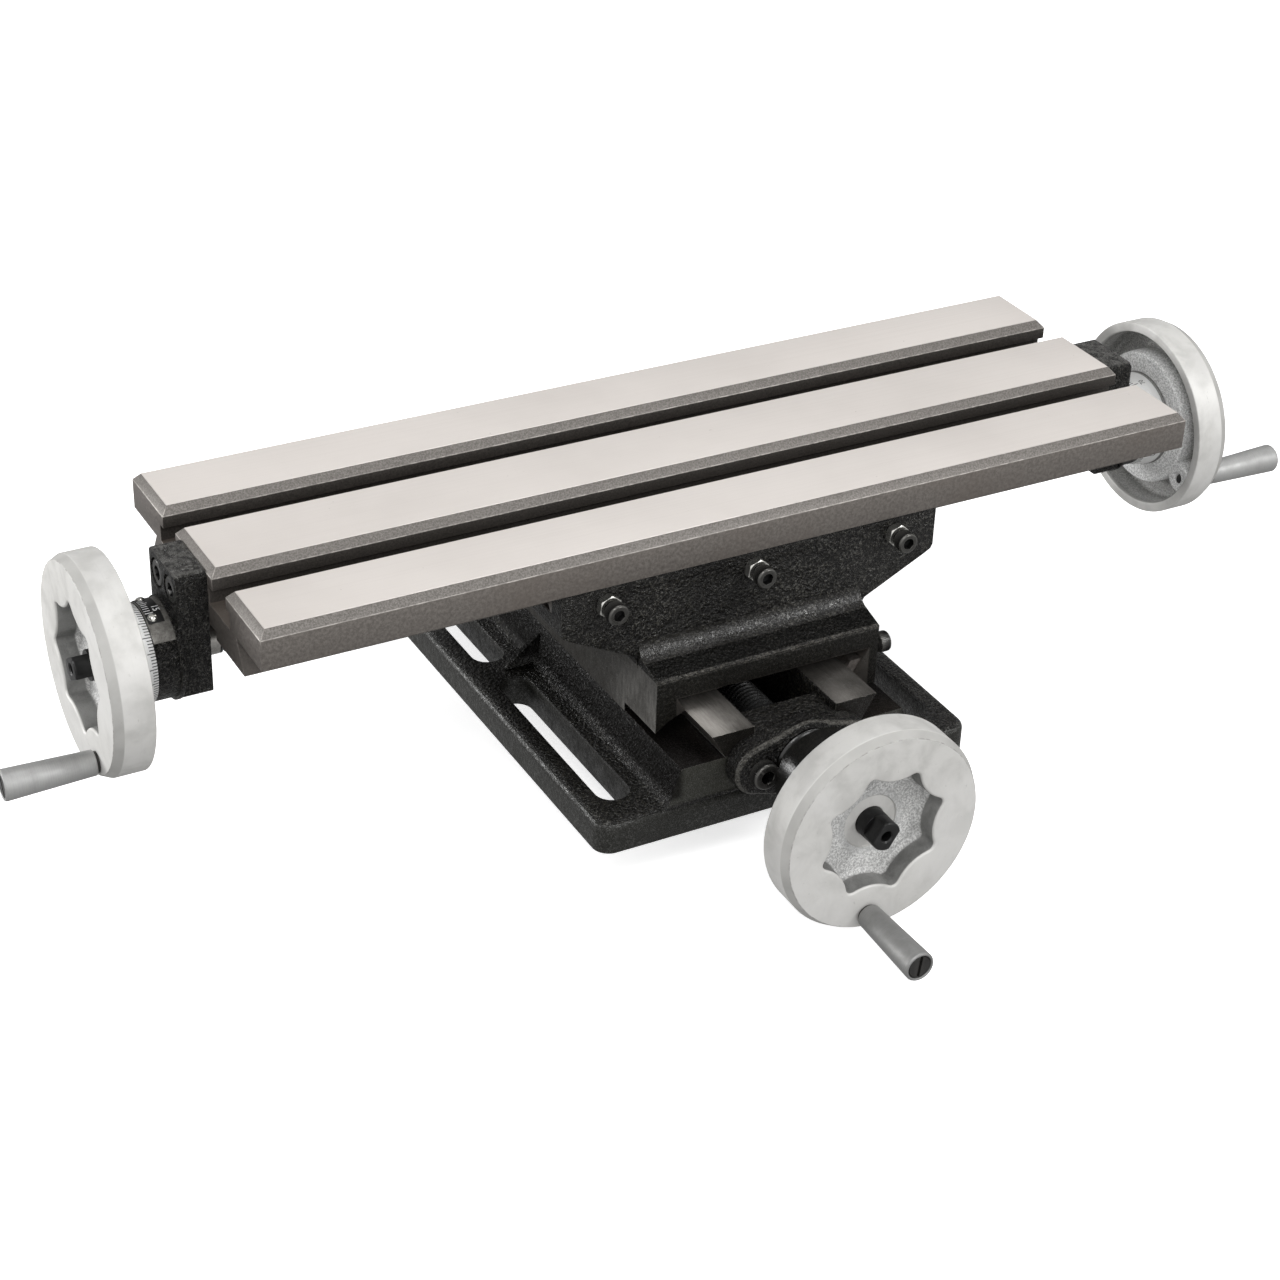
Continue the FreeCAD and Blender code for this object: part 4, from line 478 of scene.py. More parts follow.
def steel(name, tone=(128, 126, 122), rough=0.32, metal=0.95, grit=900, bump=0.00002, spread=14):
    m = Mat(name)
    n = m.noise(grit, 3.0, 0.6)
    b = m.noise(70, 4.0, 0.6)
    lo = srgb(*(max(c - spread, 0) for c in tone))
    hi = srgb(*(min(c + spread, 255) for c in tone))
    col = m.mix(m.span(n, 0.3, 0.7), lo, hi)
    col = m.mix(m.math("MULTIPLY", m.span(b, 0.45, 0.75), 0.35), col, lo)
    m.set(color=col, rough=m.span(b, 0.3, 0.7, rough - 0.05, rough + 0.08), metal=metal, normal=m.bump(n, bump, 1.0))
    return m.m


def black_oxide(name="black_oxide_steel", tone=26, rough=0.28, rim=0.42):
    m = Mat(name)
    n = m.noise(1400, 3.0, 0.6)
    b = m.noise(160, 3.0)
    col = m.mix(m.span(b, 0.35, 0.7), srgb(tone - 8), srgb(tone + 8))
    # painted highlight: the rims are lightened towards bright steel
    col = m.mix(m.math("MULTIPLY", rims(m), rim), col, srgb(150, 148, 143))
    m.set(color=col, rough=m.span(b, 0.3, 0.7, rough - 0.06, rough + 0.08), metal=0.6, normal=m.bump(n, 0.000015, 1.0))
    return m.m


def leadscrew_material(name, end, thread, tone):
    """Rolled thread up to local z = thread, bright journals, and blackened ends beyond z = end."""
    m = Mat(name, True)
    z = m.math("ABSOLUTE", m.xyz()[2])
    b = m.noise(120, 4.0, 0.6)
    n = m.noise(1200, 3.0)
    c1 = m.mix(m.span(b, 0.35, 0.7), srgb(112, 109, 105), srgb(156, 152, 147))
    c0 = m.mix(m.span(b, 0.35, 0.7), srgb(max(tone - 14, 4)), srgb(tone + 14))
    c2 = m.mix(m.span(b, 0.35, 0.7), srgb(20), srgb(36))
    f = m.span(z, end, end + 0.0005)
    g = m.span(z, thread, thread + 0.0005)
    col = m.mix(f, m.mix(g, c0, c1), c2)
    m.set(color=col, metal=m.mixf(f, 0.85, 0.4), rough=m.mixf(f, m.span(n, 0.3, 0.7, 0.20, 0.32), m.span(b, 0.3, 0.7, 0.30, 0.44)), normal=m.bump(n, 0.00002, 1.0))
    return m.m


MATS = {
    "table": table_material(),
    "saddle": saddle_material(),
    "base": base_material(),
    "bracket": bracket_material(),
    "wheel": wheel_material(),
    "grip": satin_aluminium("grip_aluminium", 158, 0.46, 0.55),
    # painted shade: the front grip is a darker copy of the grip material
    "front_grip": satin_aluminium("front_grip_aluminium", 136, 0.48, 0.6),
    "dial": satin_aluminium("dial_satin", 222, 0.45, 0.35),
    "oxide": black_oxide(),
    # painted sheen: a lighter copy of the black casting for the saddle's ledge fillets
    "fillet": black_cast("fillet_black_casting", 0.30, 26, 0.00014, 0.85, 0.0, 0.5, 26).m,
    "spindle": black_oxide("spindle_black_oxide", 22, 0.32, 0.12),
    "zinc": steel("zinc_plated_steel", (196, 195, 190), 0.24, 0.95, 1100, 0.000015, 10),
    "bronze": steel("machined_bronze", (186, 146, 92), 0.3, 0.95, 900, 0.00002, 12),
    "gib": steel("ground_gib_iron", (104, 99, 95), 0.38, 0.85, 700, 0.00003, 16),
    "steel": steel("turned_steel", (150, 148, 144), 0.3, 0.95, 1000, 0.00002, 12),
    "long_screw": leadscrew_material("long_leadscrew_steel", 0.2722, 0.2281, 96),
    "cross_screw": leadscrew_material("cross_leadscrew_steel", 0.1940, 0.1376, 88),
    "index": black_oxide("index_plate_black", 20, 0.42, 0.0),
}


def paint(name, tone, rough):
    m = Mat(name)
    n = m.noise(1600, 3.0)
    m.set(color=m.mix(m.span(n, 0.3, 0.7), srgb(max(tone - 10, 0)), srgb(min(tone + 6, 255))), rough=m.span(n, 0.3, 0.7, rough - 0.05, rough + 0.08), normal=m.bump(n, 0.00001, 1.0))
    return m.m


MATS["white"] = paint("white_filled_lines", 226, 0.5)
MATS["black"] = paint("black_filled_lines", 30, 0.5)


# ------------------------------------------------------------------ mesh helpers
def make(name, verts, faces, body, material, matrix=None, scale=MM, angle=32.0, slot=None):
    me = bpy.data.meshes.new(name)
    me.from_pydata([tuple(c * scale for c in v) for v in verts], [], faces)
    me.validate()
    return finish_mesh(name, me, body, material, matrix, angle)


def finish_mesh(name, me, body, material, matrix=None, angle=32.0):
    bm = bmesh.new()
    bm.from_mesh(me)
    bmesh.ops.remove_doubles(bm, verts=bm.verts, dist=1e-7)
    bmesh.ops.recalc_face_normals(bm, faces=bm.faces)
    bm.to_mesh(me)
    bm.free()
    if matrix is not None:
        own = [c for v in me.vertices for c in v.co]
        att = me.attributes.new("local", "FLOAT_VECTOR", "POINT")
        att.data.foreach_set("vector", own)
        me.transform(matrix)
        me.update()
    me.polygons.foreach_set("use_smooth", [True] * len(me.polygons))
    me.set_sharp_from_angle(angle=math.radians(angle))
    me.materials.append(material)
    o = bpy.data.objects.new(name, me)
    scene.collection.objects.link(o)
    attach(o, body)
    return o


def axes(origin, zdir, xdir):
    """Matrix of a local frame given in millimetres: local Z along zdir and local X along xdir."""
    z = Vector(zdir).normalized()
    x = Vector(xdir).normalized()
    y = z.cross(x)
    m = Matrix((x, y, z)).transposed().to_4x4()
    m.translation = Vector(origin) * MM
    return m


def rounded(pts, closed=False, steps=4):
    """Polyline of (a, b) or (a, b, r) points with each corner of radius r turned into an arc."""
    out = []
    n = len(pts)
    for i, p in enumerate(pts):
        r = p[2] if len(p) > 2 else 0.0
        if r <= 0 or (not closed and i in (0, n - 1)):
            out.append((p[0], p[1]))
            continue
        a, c, q = Vector(pts[i - 1][:2]), Vector(p[:2]), Vector(pts[(i + 1) % n][:2])
        u, v = (a - c), (q - c)
        lu, lv = u.length, v.length
        u.normalize()
        v.normalize()
        ang = u.angle(v)
        if ang > math.radians(178):
            out.append((p[0], p[1]))
            continue
        d = min(r / math.tan(ang / 2), lu * 0.49, lv * 0.49)
        rr = d * math.tan(ang / 2)
        ctr = c + (u + v).normalized() * (rr / math.sin(ang / 2))
        s, e = c + u * d, c + v * d
        a0 = math.atan2(s.y - ctr.y, s.x - ctr.x)
        a1 = math.atan2(e.y - ctr.y, e.x - ctr.x)
        da = (a1 - a0 + math.pi) % (2 * math.pi) - math.pi
        for k in range(steps + 1):
            t = a0 + da * k / steps
            out.append((ctr.x + rr * math.cos(t), ctr.y + rr * math.sin(t)))
    return out


def rings(rows, n, close_start=False, close_end=False, loop=False):
    """Faces of a stack of rings. A row is (radius or list of radii or list of (x, y), height)."""
    verts, faces = [], []
    for rad, h in rows:
        for i in range(n):
            t = 2 * math.pi * i / n
            if isinstance(rad, (list, tuple)):
                q = rad[i]
                if isinstance(q, (list, tuple)):
                    verts.append((q[0], q[1], h))
                else:
                    verts.append((q * math.cos(t), q * math.sin(t), h))
            else:
                verts.append((rad * math.cos(t), rad * math.sin(t), h))
    m = len(rows)
    for k in range(m if loop else m - 1):
        a, b = k * n, ((k + 1) % m) * n
        for i in range(n):
            j = (i + 1) % n
            faces.append((a + i, a + j, b + j, b + i))
    if close_start:
        faces.append(tuple(reversed(range(n))))
    if close_end:
        faces.append(tuple(range((m - 1) * n, m * n)))
    return verts, faces


def joined(*parts):
    verts, faces = [], []
    for v, f in parts:
        k = len(verts)
        verts += v
        faces += [tuple(i + k for i in q) for q in f]
    return verts, faces


def moved(part, m):
    """Verts of a part, in millimetres, through a matrix whose translation is in millimetres."""
    v, f = part
    return [tuple(m @ Vector(p)) for p in v], f


def mm_axes(origin, zdir, xdir):
    m = axes(origin, zdir, xdir)
    m.translation = Vector(origin)
    return m


def thread(r, depth, pitch, z0, z1, segs=32, hand=1, crest=0.28, root=0.28):
    """A closed threaded rod from z0 to z1."""
    turns = int(math.ceil((z1 - z0) / pitch)) + 2
    flank = (1 - crest - root) / 2
    prof = [(0.0, r - depth), (root, r - depth), (root + flank, r), (root + flank + crest, r)]
    bm = bmesh.new()
    grid = []
    total = turns * segs
    start = z0 - pitch
    for j in range(total + 1):
        t = 2 * math.pi * j / segs * hand
        row = []
        for u, rr in prof:
            row.append(bm.verts.new((rr * math.cos(t), rr * math.sin(t), start + pitch * (j / segs + u))))
        grid.append(row)
    for j in range(total):
        a, b = grid[j], grid[j + 1]
        for i in range(3):
            bm.faces.new((a[i], a[i + 1], b[i + 1], b[i]))
        if j + segs < total:
            c, d = grid[j + segs], grid[j + segs + 1]
            bm.faces.new((a[3], c[0], d[0], b[3]))
    for z, up in ((z0, -1), (z1, 1)):
        geom = bm.verts[:] + bm.edges[:] + bm.faces[:]
        res = bmesh.ops.bisect_plane(bm, geom=geom, plane_co=(0, 0, z), plane_no=(0, 0, up), clear_outer=True, dist=1e-5)
        rim = [e for e in bm.edges if e.is_boundary and all(abs(v.co.z - z) < 1e-3 for v in e.verts)]
        if rim:
            bmesh.ops.edgeloop_fill(bm, edges=rim)
    bm.verts.index_update()
    verts = [tuple(v.co) for v in bm.verts]
    faces = [tuple(v.index for v in f.verts) for f in bm.faces]
    bm.free()
    return verts, faces


def hex_radii(af, n, turn=0.0):
    out = []
    for i in range(n):
        t = (2 * math.pi * i / n + turn) % (math.pi / 3)
        out.append((af / 2) / math.cos(t - math.pi / 6))
    return out


def cap_head(r, h, af, deep, n=96, knurl=0.10, turn=0.0):
    """Head of a socket cap screw standing on z = 0: knurled side, turned rim, chamfered socket."""
    k = [r - (knurl if i % 2 else 0.0) for i in range(n)]
    hexa = hex_radii(af, n, turn)
    mouth = [max(q, af / 2 * 1.10) for q in hexa]
    rows = [
        (r - 0.35, 0.0), (k, 0.35), (k, h - r * 0.20), (r - 0.02, h - r * 0.17), (r - r * 0.05, h - r * 0.06), (r - r * 0.13, h),
        (max(mouth) + 0.15, h), (mouth, h - 0.02), (hexa, h - 0.45), (hexa, h - deep), ([q * 0.45 for q in hexa], h - deep - 0.3),
    ]
    return rings(rows, n, close_start=True, close_end=True)


def cap_screw_mesh(head_r, head_h, shank_r, length, pitch, af, deep, turn=0.0, segs=28):
    head = cap_head(head_r, head_h, af, deep, turn=turn)
    rod = thread(shank_r, pitch * 0.55, pitch, -length, 0.02, segs, 1, 0.18, 0.22)
    return joined(head, rod)


def nut_mesh(af, h, bore, n=96):
    """A hexagon nut standing on z = 0 with both rims turned away."""
    hexa = hex_radii(af, n)
    flat = af / 2 - 0.12
    rows = []

    def turned(z):
        # a cone of thirty degrees from each face takes the corners away
        d = min(z, h - z)
        lim = flat + d / math.tan(math.radians(30))
        return [min(q, lim) for q in hexa]

    rows.append((bore + 0.45, 0.0))
    for z in (0.0, 0.12, 0.24, 0.4, 0.6, h / 2, h - 0.6, h - 0.4, h - 0.24, h - 0.12, h):
        rows.append((turned(z), z))
    rows.append((bore + 0.45, h))
    rows.append((bore, h - 0.45))
    rows.append((bore, 0.45))
    return rings(rows, n, loop=True)


def star_points(n, tip, off, scal, tip_r=2.4):
    """Outline of the eight-lobed pocket at n even angles, tips at 22.5 degrees off each valley."""
    raw = []
    m = n * 4
    for i in range(m):
        t = 2 * math.pi * i / m
        d = (t + math.pi / 8) % (math.pi / 4) - math.pi / 8
        s = scal * scal - (off * math.sin(d)) ** 2
        r = off * math.cos(d) - math.sqrt(s) if s > 0 else 1e9
        raw.append(min(r, tip))
    # rounds the two corners of each tip with a rolling average along the outline
    w = int(m * tip_r / (2 * math.pi * tip) * 0.9)
    ker = [math.exp(-(k / (w * 0.6)) ** 2) for k in range(-w, w + 1)]
    tot = sum(ker)
    smooth = [sum(raw[(i + k) % m] * ker[k + w] for k in range(-w, w + 1)) / tot for i in range(m)]
    return [smooth[i * 4] for i in range(n)]


def offset_polar(radii, d):
    """The outline moved inward by d, sampled again at the same angles."""
    n = len(radii)
    pts = [Vector((radii[i] * math.cos(2 * math.pi * i / n), radii[i] * math.sin(2 * math.pi * i / n))) for i in range(n)]
    out = []
    for i in range(n):
        tan = (pts[(i + 1) % n] - pts[i - 1]).normalized()
        nor = Vector((-tan.y, tan.x))
        out.append(pts[i] + nor * d)
    pairs = sorted((math.atan2(p.y, p.x) % (2 * math.pi), p.length) for p in out)
    ang = [a for a, _ in pairs]
    res = []
    import bisect

    for i in range(n):
        t = 2 * math.pi * i / n
        k = bisect.bisect_left(ang, t)
        a1, r1 = pairs[k % n]
        a0, r0 = pairs[k - 1]
        if k >= n:
            a1 += 2 * math.pi
        if k == 0:
            a0 -= 2 * math.pi
        f = (t - a0) / (a1 - a0) if a1 > a0 else 0
        res.append(r0 + (r1 - r0) * f)
    return res


def recast(node, bevels, angle=32.0, material=None, name=None, dissolve=0.35):
    """A CAD casting's own surface, with flats merged and its edges rounded in real geometry.
    bevels is a list of (test(mid, n1, n2, edge), width in mm, segments)."""
    src = nodes[node]
    bm = bmesh.new()
    bm.from_mesh(src.data)
    bmesh.ops.remove_doubles(bm, verts=bm.verts, dist=2e-6)
    bmesh.ops.dissolve_limit(bm, angle_limit=math.radians(dissolve), use_dissolve_boundaries=False, verts=bm.verts, edges=bm.edges)
    bmesh.ops.recalc_face_normals(bm, faces=bm.faces)
    wear = bm.faces.layers.float.new("wear")
    for test, width, segs in bevels:
        pick = []
        for e in bm.edges:
            if len(e.link_faces) != 2:
                continue
            a = e.calc_face_angle_signed(0.0)
            if abs(a) < math.radians(24):
                continue
            mid = (e.verts[0].co + e.verts[1].co) / 2 * 1000
            if test(mid, e.link_faces[0].normal, e.link_faces[1].normal, a, e):
                pick.append(e)
        if pick:
            res = bmesh.ops.bevel(bm, geom=pick, offset=width * MM, offset_type="OFFSET", segments=segs, profile=0.5, affect="EDGES", clamp_overlap=True, loop_slide=True, miter_outer="ARC")
            if width < 2.5:
                for f in res["faces"]:
                    f[wear] = 1.0
    me = bpy.data.meshes.new(name or node + "_skin")
    bm.to_mesh(me)
    bm.free()
    o = finish_mesh(name or node + "_skin", me, src["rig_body"], material or src.data.materials[0], None, angle)
    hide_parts(node)
    return o


def give(node, material, bevel=0.25, segs=2):
    """A CAD node keeps its shape and gets its material and a fine rounding of its edges."""
    o = nodes[node]
    if o.data.materials:
        for i in range(len(o.material_slots)):
            o.material_slots[i].link = "OBJECT"
            o.material_slots[i].material = material
    if bevel:
        d = o.modifiers.new("flats", "DECIMATE")
        d.decimate_type = "DISSOLVE"
        d.angle_limit = math.radians(0.4)
        b = o.modifiers.new("edge", "BEVEL")
        b.width = bevel * MM
        b.segments = segs
        b.limit_method = "ANGLE"
        b.angle_limit = math.radians(28)
        b.use_clamp_overlap = True
        b.harden_normals = False
    return o


# ------------------------------------------------------------------ castings
def table_edges(mid, n1, n2, a, e):
    return a > 0


recast("table_casting", [(lambda mid, n1, n2, a, e: a > 0, 0.35, 2)], material=MATS["table"], name="table_casting_skin")


def saddle_cast(mid, n1, n2, a, e):
    """Outer cast edges are soft; machined slots stay crisp."""
    y = mid.y - CY
    if a <= 0:
        return False
    if mid.z > 111.4 and -64 < y < 58:
        return False
    if mid.z < 56 and -49 < mid.x < 55 and abs(mid.x) < 56 and mid.z < 55.5 and mid.x > -48:
        return False
    return True


def strip(name, body, material, corner, d1, d2, leg, ends, steps=12, sink=1.2):
    """A concave cast fillet in an inner corner: corner and directions are in a plane, ends are along the sweep.
    corner(u, v, w) turns plane coordinates and a place along the sweep into a point in mm."""
    c = d1[0] * d2[0] + d1[1] * d2[1]
    half = math.acos(c) / 2
    radius = leg * math.tan(half)
    bis = (d1[0] + d2[0], d1[1] + d2[1])
    bl = math.hypot(*bis)
    bis = (bis[0] / bl, bis[1] / bl)
    far = leg / math.cos(half)
    cen = (bis[0] * far, bis[1] * far)
    a1 = math.atan2(d1[1] * leg - cen[1], d1[0] * leg - cen[0])
    a2 = math.atan2(d2[1] * leg - cen[1], d2[0] * leg - cen[0])
    turn = (a2 - a1 + math.pi) % (2 * math.pi) - math.pi
    pts = [(cen[0] + radius * math.cos(a1 + turn * k / steps), cen[1] + radius * math.sin(a1 + turn * k / steps)) for k in range(steps + 1)]
    # tucked a little under both faces so that no gap shows
    pts = [(pts[0][0] - bis[0] * sink, pts[0][1] - bis[1] * sink)] + pts + [(pts[-1][0] - bis[0] * sink, pts[-1][1] - bis[1] * sink)]
    pts.append((-bis[0] * sink * 1.5, -bis[1] * sink * 1.5))
    n = len(pts)
    verts = [corner(u, v, ends[0]) for u, v in pts] + [corner(u, v, ends[1]) for u, v in pts]
    faces = [(k, (k + 1) % n, n + (k + 1) % n, n + k) for k in range(n)] + [tuple(range(n)), tuple(range(2 * n - 1, n - 1, -1))]
    return make(name, verts, faces, body, material, angle=40.0)


recast("saddle_casting", [(saddle_cast, 1.3, 3), (lambda mid, n1, n2, a, e: a > math.radians(40), 0.3, 2)], material=MATS["saddle"], name="saddle_casting_skin")
ledge_dir = (18.0 / math.hypot(18, 5), -5.0 / math.hypot(18, 5))
for tag, sg in (("front", -1), ("back", 1)):
    strip("saddle_ledge_fillet_" + tag, nodes["saddle_casting"]["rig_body"], MATS["fillet"], lambda u, v, w, sg=sg: (w, CY + sg * (74.0 + u), 71.0 + v), (0.0, 1.0), ledge_dir, 6.5, (-57.95, 57.95))
recast(
    "base_casting",
    [
        (lambda mid, n1, n2, a, e: a > 0 and mid.z < 34.5 and mid.z > 15.6, 1.2, 3),
        (lambda mid, n1, n2, a, e: a > math.radians(40) and mid.z > 34.8 and abs(mid.y) > 136.5, 0.7, 3),
        (lambda mid, n1, n2, a, e: a > math.radians(40), 0.35, 2),
    ],
    material=MATS["base"], name="base_casting_skin",
)
for s in ("left", "right"):
    recast(
        s + "_end_bracket",
        [
            (lambda mid, n1, n2, a, e: a > 0 and abs(abs(mid.x) - 249.5) < 0.3 and (abs(mid.y - CY) > 13 or mid.z > 124 or mid.z < 69), 0.8, 3),
            (lambda mid, n1, n2, a, e: a > math.radians(40), 0.3, 2),
        ],
        material=MATS["bracket"], name=s + "_end_bracket_skin",
    )


def lozenge(n, mid_r, ear_r, ear_x, grow=0.0):
    """Outline of the bracket's flange about its centre: a middle circle and two ears with their
    common tangents, sampled at n even angles."""
    dx = ear_x
    out = []
    for i in range(n):
        t = 2 * math.pi * i / n
        c, si = math.cos(t), math.sin(t)
        best = 0.0
        # the hull of three circles: the farthest ray point over circles slid along each pair
        for k in range(121):
            f = k / 120.0
            for s in (1, -1):
                cx = dx * f * s
                r = mid_r + (ear_r - mid_r) * f + grow
                # ray from the centre meets the circle at (cx, 0)
                b = c * cx
                disc = b * b - (cx * cx - r * r)
                if disc > 0:
                    best = max(best, b + math.sqrt(disc))
        out.append((best * c, best * si))
    return out


def cross_bracket_mesh():
    """Flange, neck and drum about the local Z axis, which points forward from the base's end face."""
    n = 192
    base = [lozenge(n, 19.0, 12.5, 23.0, -d) for d in (0.0, 0.18, 0.65, 1.35, 2.2)]
    rows = [([(p[0] * 0.2, p[1] * 0.2) for p in base[0]], 0.02), (base[1], 0.02), (base[0], 0.3), (base[0], 8.8)]
    for d, z in ((1, 9.65), (2, 10.35), (3, 10.82), (4, 11.0)):
        rows.append((base[d], z))
    rows.append(([(p[0] * 0.30, p[1] * 0.30) for p in base[4]], 11.0))
    flange = rings(rows, n, close_start=True, close_end=True)
    neck = rings(
        [(r, z) for r, z in rounded([(19.2, 10.6), (15.4, 12.4, 2.6), (15.4, 19.2, 0.6), (16.2, 20.4), (8.0, 20.4), (8.0, 10.6)], steps=6)],
        128, loop=True,
    )
    drum = rings(
        [(r, z) for r, z in rounded([(10.05, 20.0), (21.3, 20.0), (21.8, 20.5, 0.3), (21.8, 45.6, 0.3), (21.4, 46.0), (10.05, 46.0, 0.2)], closed=True, steps=3)],
        192, loop=True,
    )
    return flange, neck, drum


flange, neck, drum = cross_bracket_mesh()
seat_v, seat_f = [], []
steps = 104
for i in range(steps + 1):
    t = math.radians(55.5 + 104.0 * i / steps)
    for r, z in ((21.0, 34.5), (22.2, 34.5), (22.35, 34.65), (22.35, 45.85), (22.2, 46.0), (21.0, 46.0)):
        seat_v.append((r * math.cos(t), r * math.sin(t), z))
for i in range(steps):
    for j in range(6):
        a, b = i * 6 + j, i * 6 + (j + 1) % 6
        seat_f.append((a, b, b + 6, a + 6))
seat_f += [tuple(range(5, -1, -1)), tuple(range(steps * 6, steps * 6 + 6))]
o = make("cross_screw_bracket_skin", *joined(flange, neck, drum, (seat_v, seat_f)), "base", MATS["bracket"],
         axes((0, -137.0, CROSS_Z), (0, -1, 0), (1, 0, 0)), angle=38)
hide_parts("cross_screw_bracket")
for n in ("cross_gib", "table_gib"):
    give(n, MATS["gib"], 0.25)
for n in ("left_bushing", "right_bushing", "cross_bushing", "long_screw_nut", "cross_screw_nut"):
    give(n, MATS["bronze"], 0.3)
give("leadscrew_thrust_sleeves", MATS["steel"], 0.2)
for n in ("long_nut_screws", "cross_nut_screws", "long_wheel_set_screws", "cross_wheel_set_screws"):
    give(n, MATS["oxide"], 0.15, 1)
for n in ("left_index_plate", "right_index_plate", "front_index_plate"):
    give(n, MATS["index"], 0.06, 1)
for n in ("left_index_screws", "right_index_screws", "front_index_screws"):
    give(n, MATS["zinc"], 0.0)


# ------------------------------------------------------------------ leadscrews
def shaft_end(z_end, z_from, n=96):
    """A 14 mm shaft's outer end: chamfer, two flats 10 mm apart and a tapped hole. Local X is across
    the flats' direction."""
    def ring(r, clip=True):
        out = []
        for i in range(n):
            t = 2 * math.pi * i / n
            x, y = r * math.cos(t), r * math.sin(t)
            if clip:
                y = max(-5.0, min(5.0, y))
            out.append((x, y))
        return out
    zf = z_end - 7.4
    rows = [
        (ring(7.0, False), z_from), (ring(7.0, False), zf - 0.25), (ring(6.85, False), zf), (ring(6.95), zf), (ring(6.95), z_end - 0.7),
        ([(x * 0.93, max(-4.75, min(4.75, y))) for x, y in ring(6.9)], z_end - 0.05), ([(x * 0.91, max(-4.6, min(4.6, y))) for x, y in ring(6.9)], z_end),
        (ring(3.1, False), z_end), (ring(2.5, False), z_end - 0.6), (ring(2.5, False), z_end - 13.5), (ring(0.4, False), z_end - 15.0),
    ]
    return rings(rows, n, close_end=True)


a58 = math.radians(58)
long_m = axes((0, CY, LONG_Z), (1, 0, 0), (0, math.sin(a58), -math.cos(a58)))
half_turn = Matrix.Rotation(math.pi, 4, "X")
long_screw = joined(
    thread(8.0, 1.3, 2.54, -228.0, 228.0, 36, 1),
    shaft_end(292.65, 227.9),
    moved(shaft_end(292.65, 227.9), half_turn),
)
o = make("long_leadscrew_threaded", *long_screw, "long_screw", MATS["long_screw"], long_m)
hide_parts("long_leadscrew")

af = math.radians(57.5)
cross_m = axes((0, 0, CROSS_Z), (0, -1, 0), (math.cos(af), 0, math.sin(af)))
collar = rings([(h, z) for h, z in rounded([(6.0, 137.5), (12, 137.5, 0.4), (12, 144.6, 0.4), (6.0, 144.6)])], 96, loop=True)
rear = rings([(1.5, -118.2), (5.6, -118.2), (6.0, -118.6), (6.0, -135.6), (5.4, -136.3), (1.5, -136.3)], 64, close_start=True, close_end=True)
cross_screw = joined(thread(8.0, 1.3, 2.54, -118.3, 137.5, 44, -1), shaft_end(214.55, 137.4), collar, rear)
o = make("cross_leadscrew_threaded", *cross_screw, "cross_screw", MATS["cross_screw"], cross_m)
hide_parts("cross_leadscrew")


# ------------------------------------------------------------------ handwheels
def wheel_mesh():
    n = 384
    star = star_points(n, 30.8, 47.2, 21.0)
    wall = []
    top = 18.2
    for k in range(5):
        t = math.pi / 2 * k / 4
        wall.append((offset_polar(star, -1.1 + 1.1 * math.sin(t)), top - 1.1 * (1 - math.cos(t))))
    for k in range(7):
        t = math.pi / 2 * k / 6
        wall.append((offset_polar(star, 0.35 + 2.6 * (1 - math.cos(t))), 7.2 + 2.6 * (1 - math.sin(t))))
    floor = [(13.4, 7.2), (13.0, 7.0), (12.9, 6.7), (7.4, 6.7), (7.05, 6.4)]
    outer = rounded(
        [
            (33.0, top), (47.2, top, 0.5), (49.38, 13.75, 0.8), (49.38, 0.0, 0.7), (44.6, 0.0, 0.7), (44.4, 13.9, 2.6), (34.6, 13.9, 2.6),
            (33.9, 1.5, 1.4), (23.5, 1.5), (23.5, 0.0), (16.0, 0.0), (16.0, -10.7, 0.4), (7.05, -10.7), (7.05, 6.4),
        ],
        steps=5,
    )
    # ring stack: pocket wall from the floor up, out over the face, round the rim, through the back
    rows = list(reversed(floor)) + list(reversed(wall)) + outer[:-1]
    v, f = rings(rows, n, loop=True)
    # cast boss that the handle screws into, level with the dished plate, with the stud's end in it
    boss = rings(
        [(r, z) for r, z in rounded([(9.2, 14.4), (8.0, 12.4, 1.4), (7.7, 1.52, 1.1), (3.1, 1.52, 0.3), (2.75, 2.2), (2.75, 3.2)], steps=5)],
        96, close_end=True,
    )
    boss = moved(boss, Matrix.Translation((39.3, 0, 0)))
    return joined((v, f), boss)


WHEEL = wheel_mesh()
GRIP = rings(
    [
        (r, z)
        for r, z in rounded(
            [
                (3.08, 19.45), (5.75, 19.45, 0.7), (7.08, 59.3, 0.8), (6.6, 60.15, 0.3), (5.95, 60.15, 0.15), (5.72, 59.8), (5.72, 57.35), (3.08, 57.35),
            ],
            closed=True, steps=5,
        )
    ],
    96, loop=True,
)


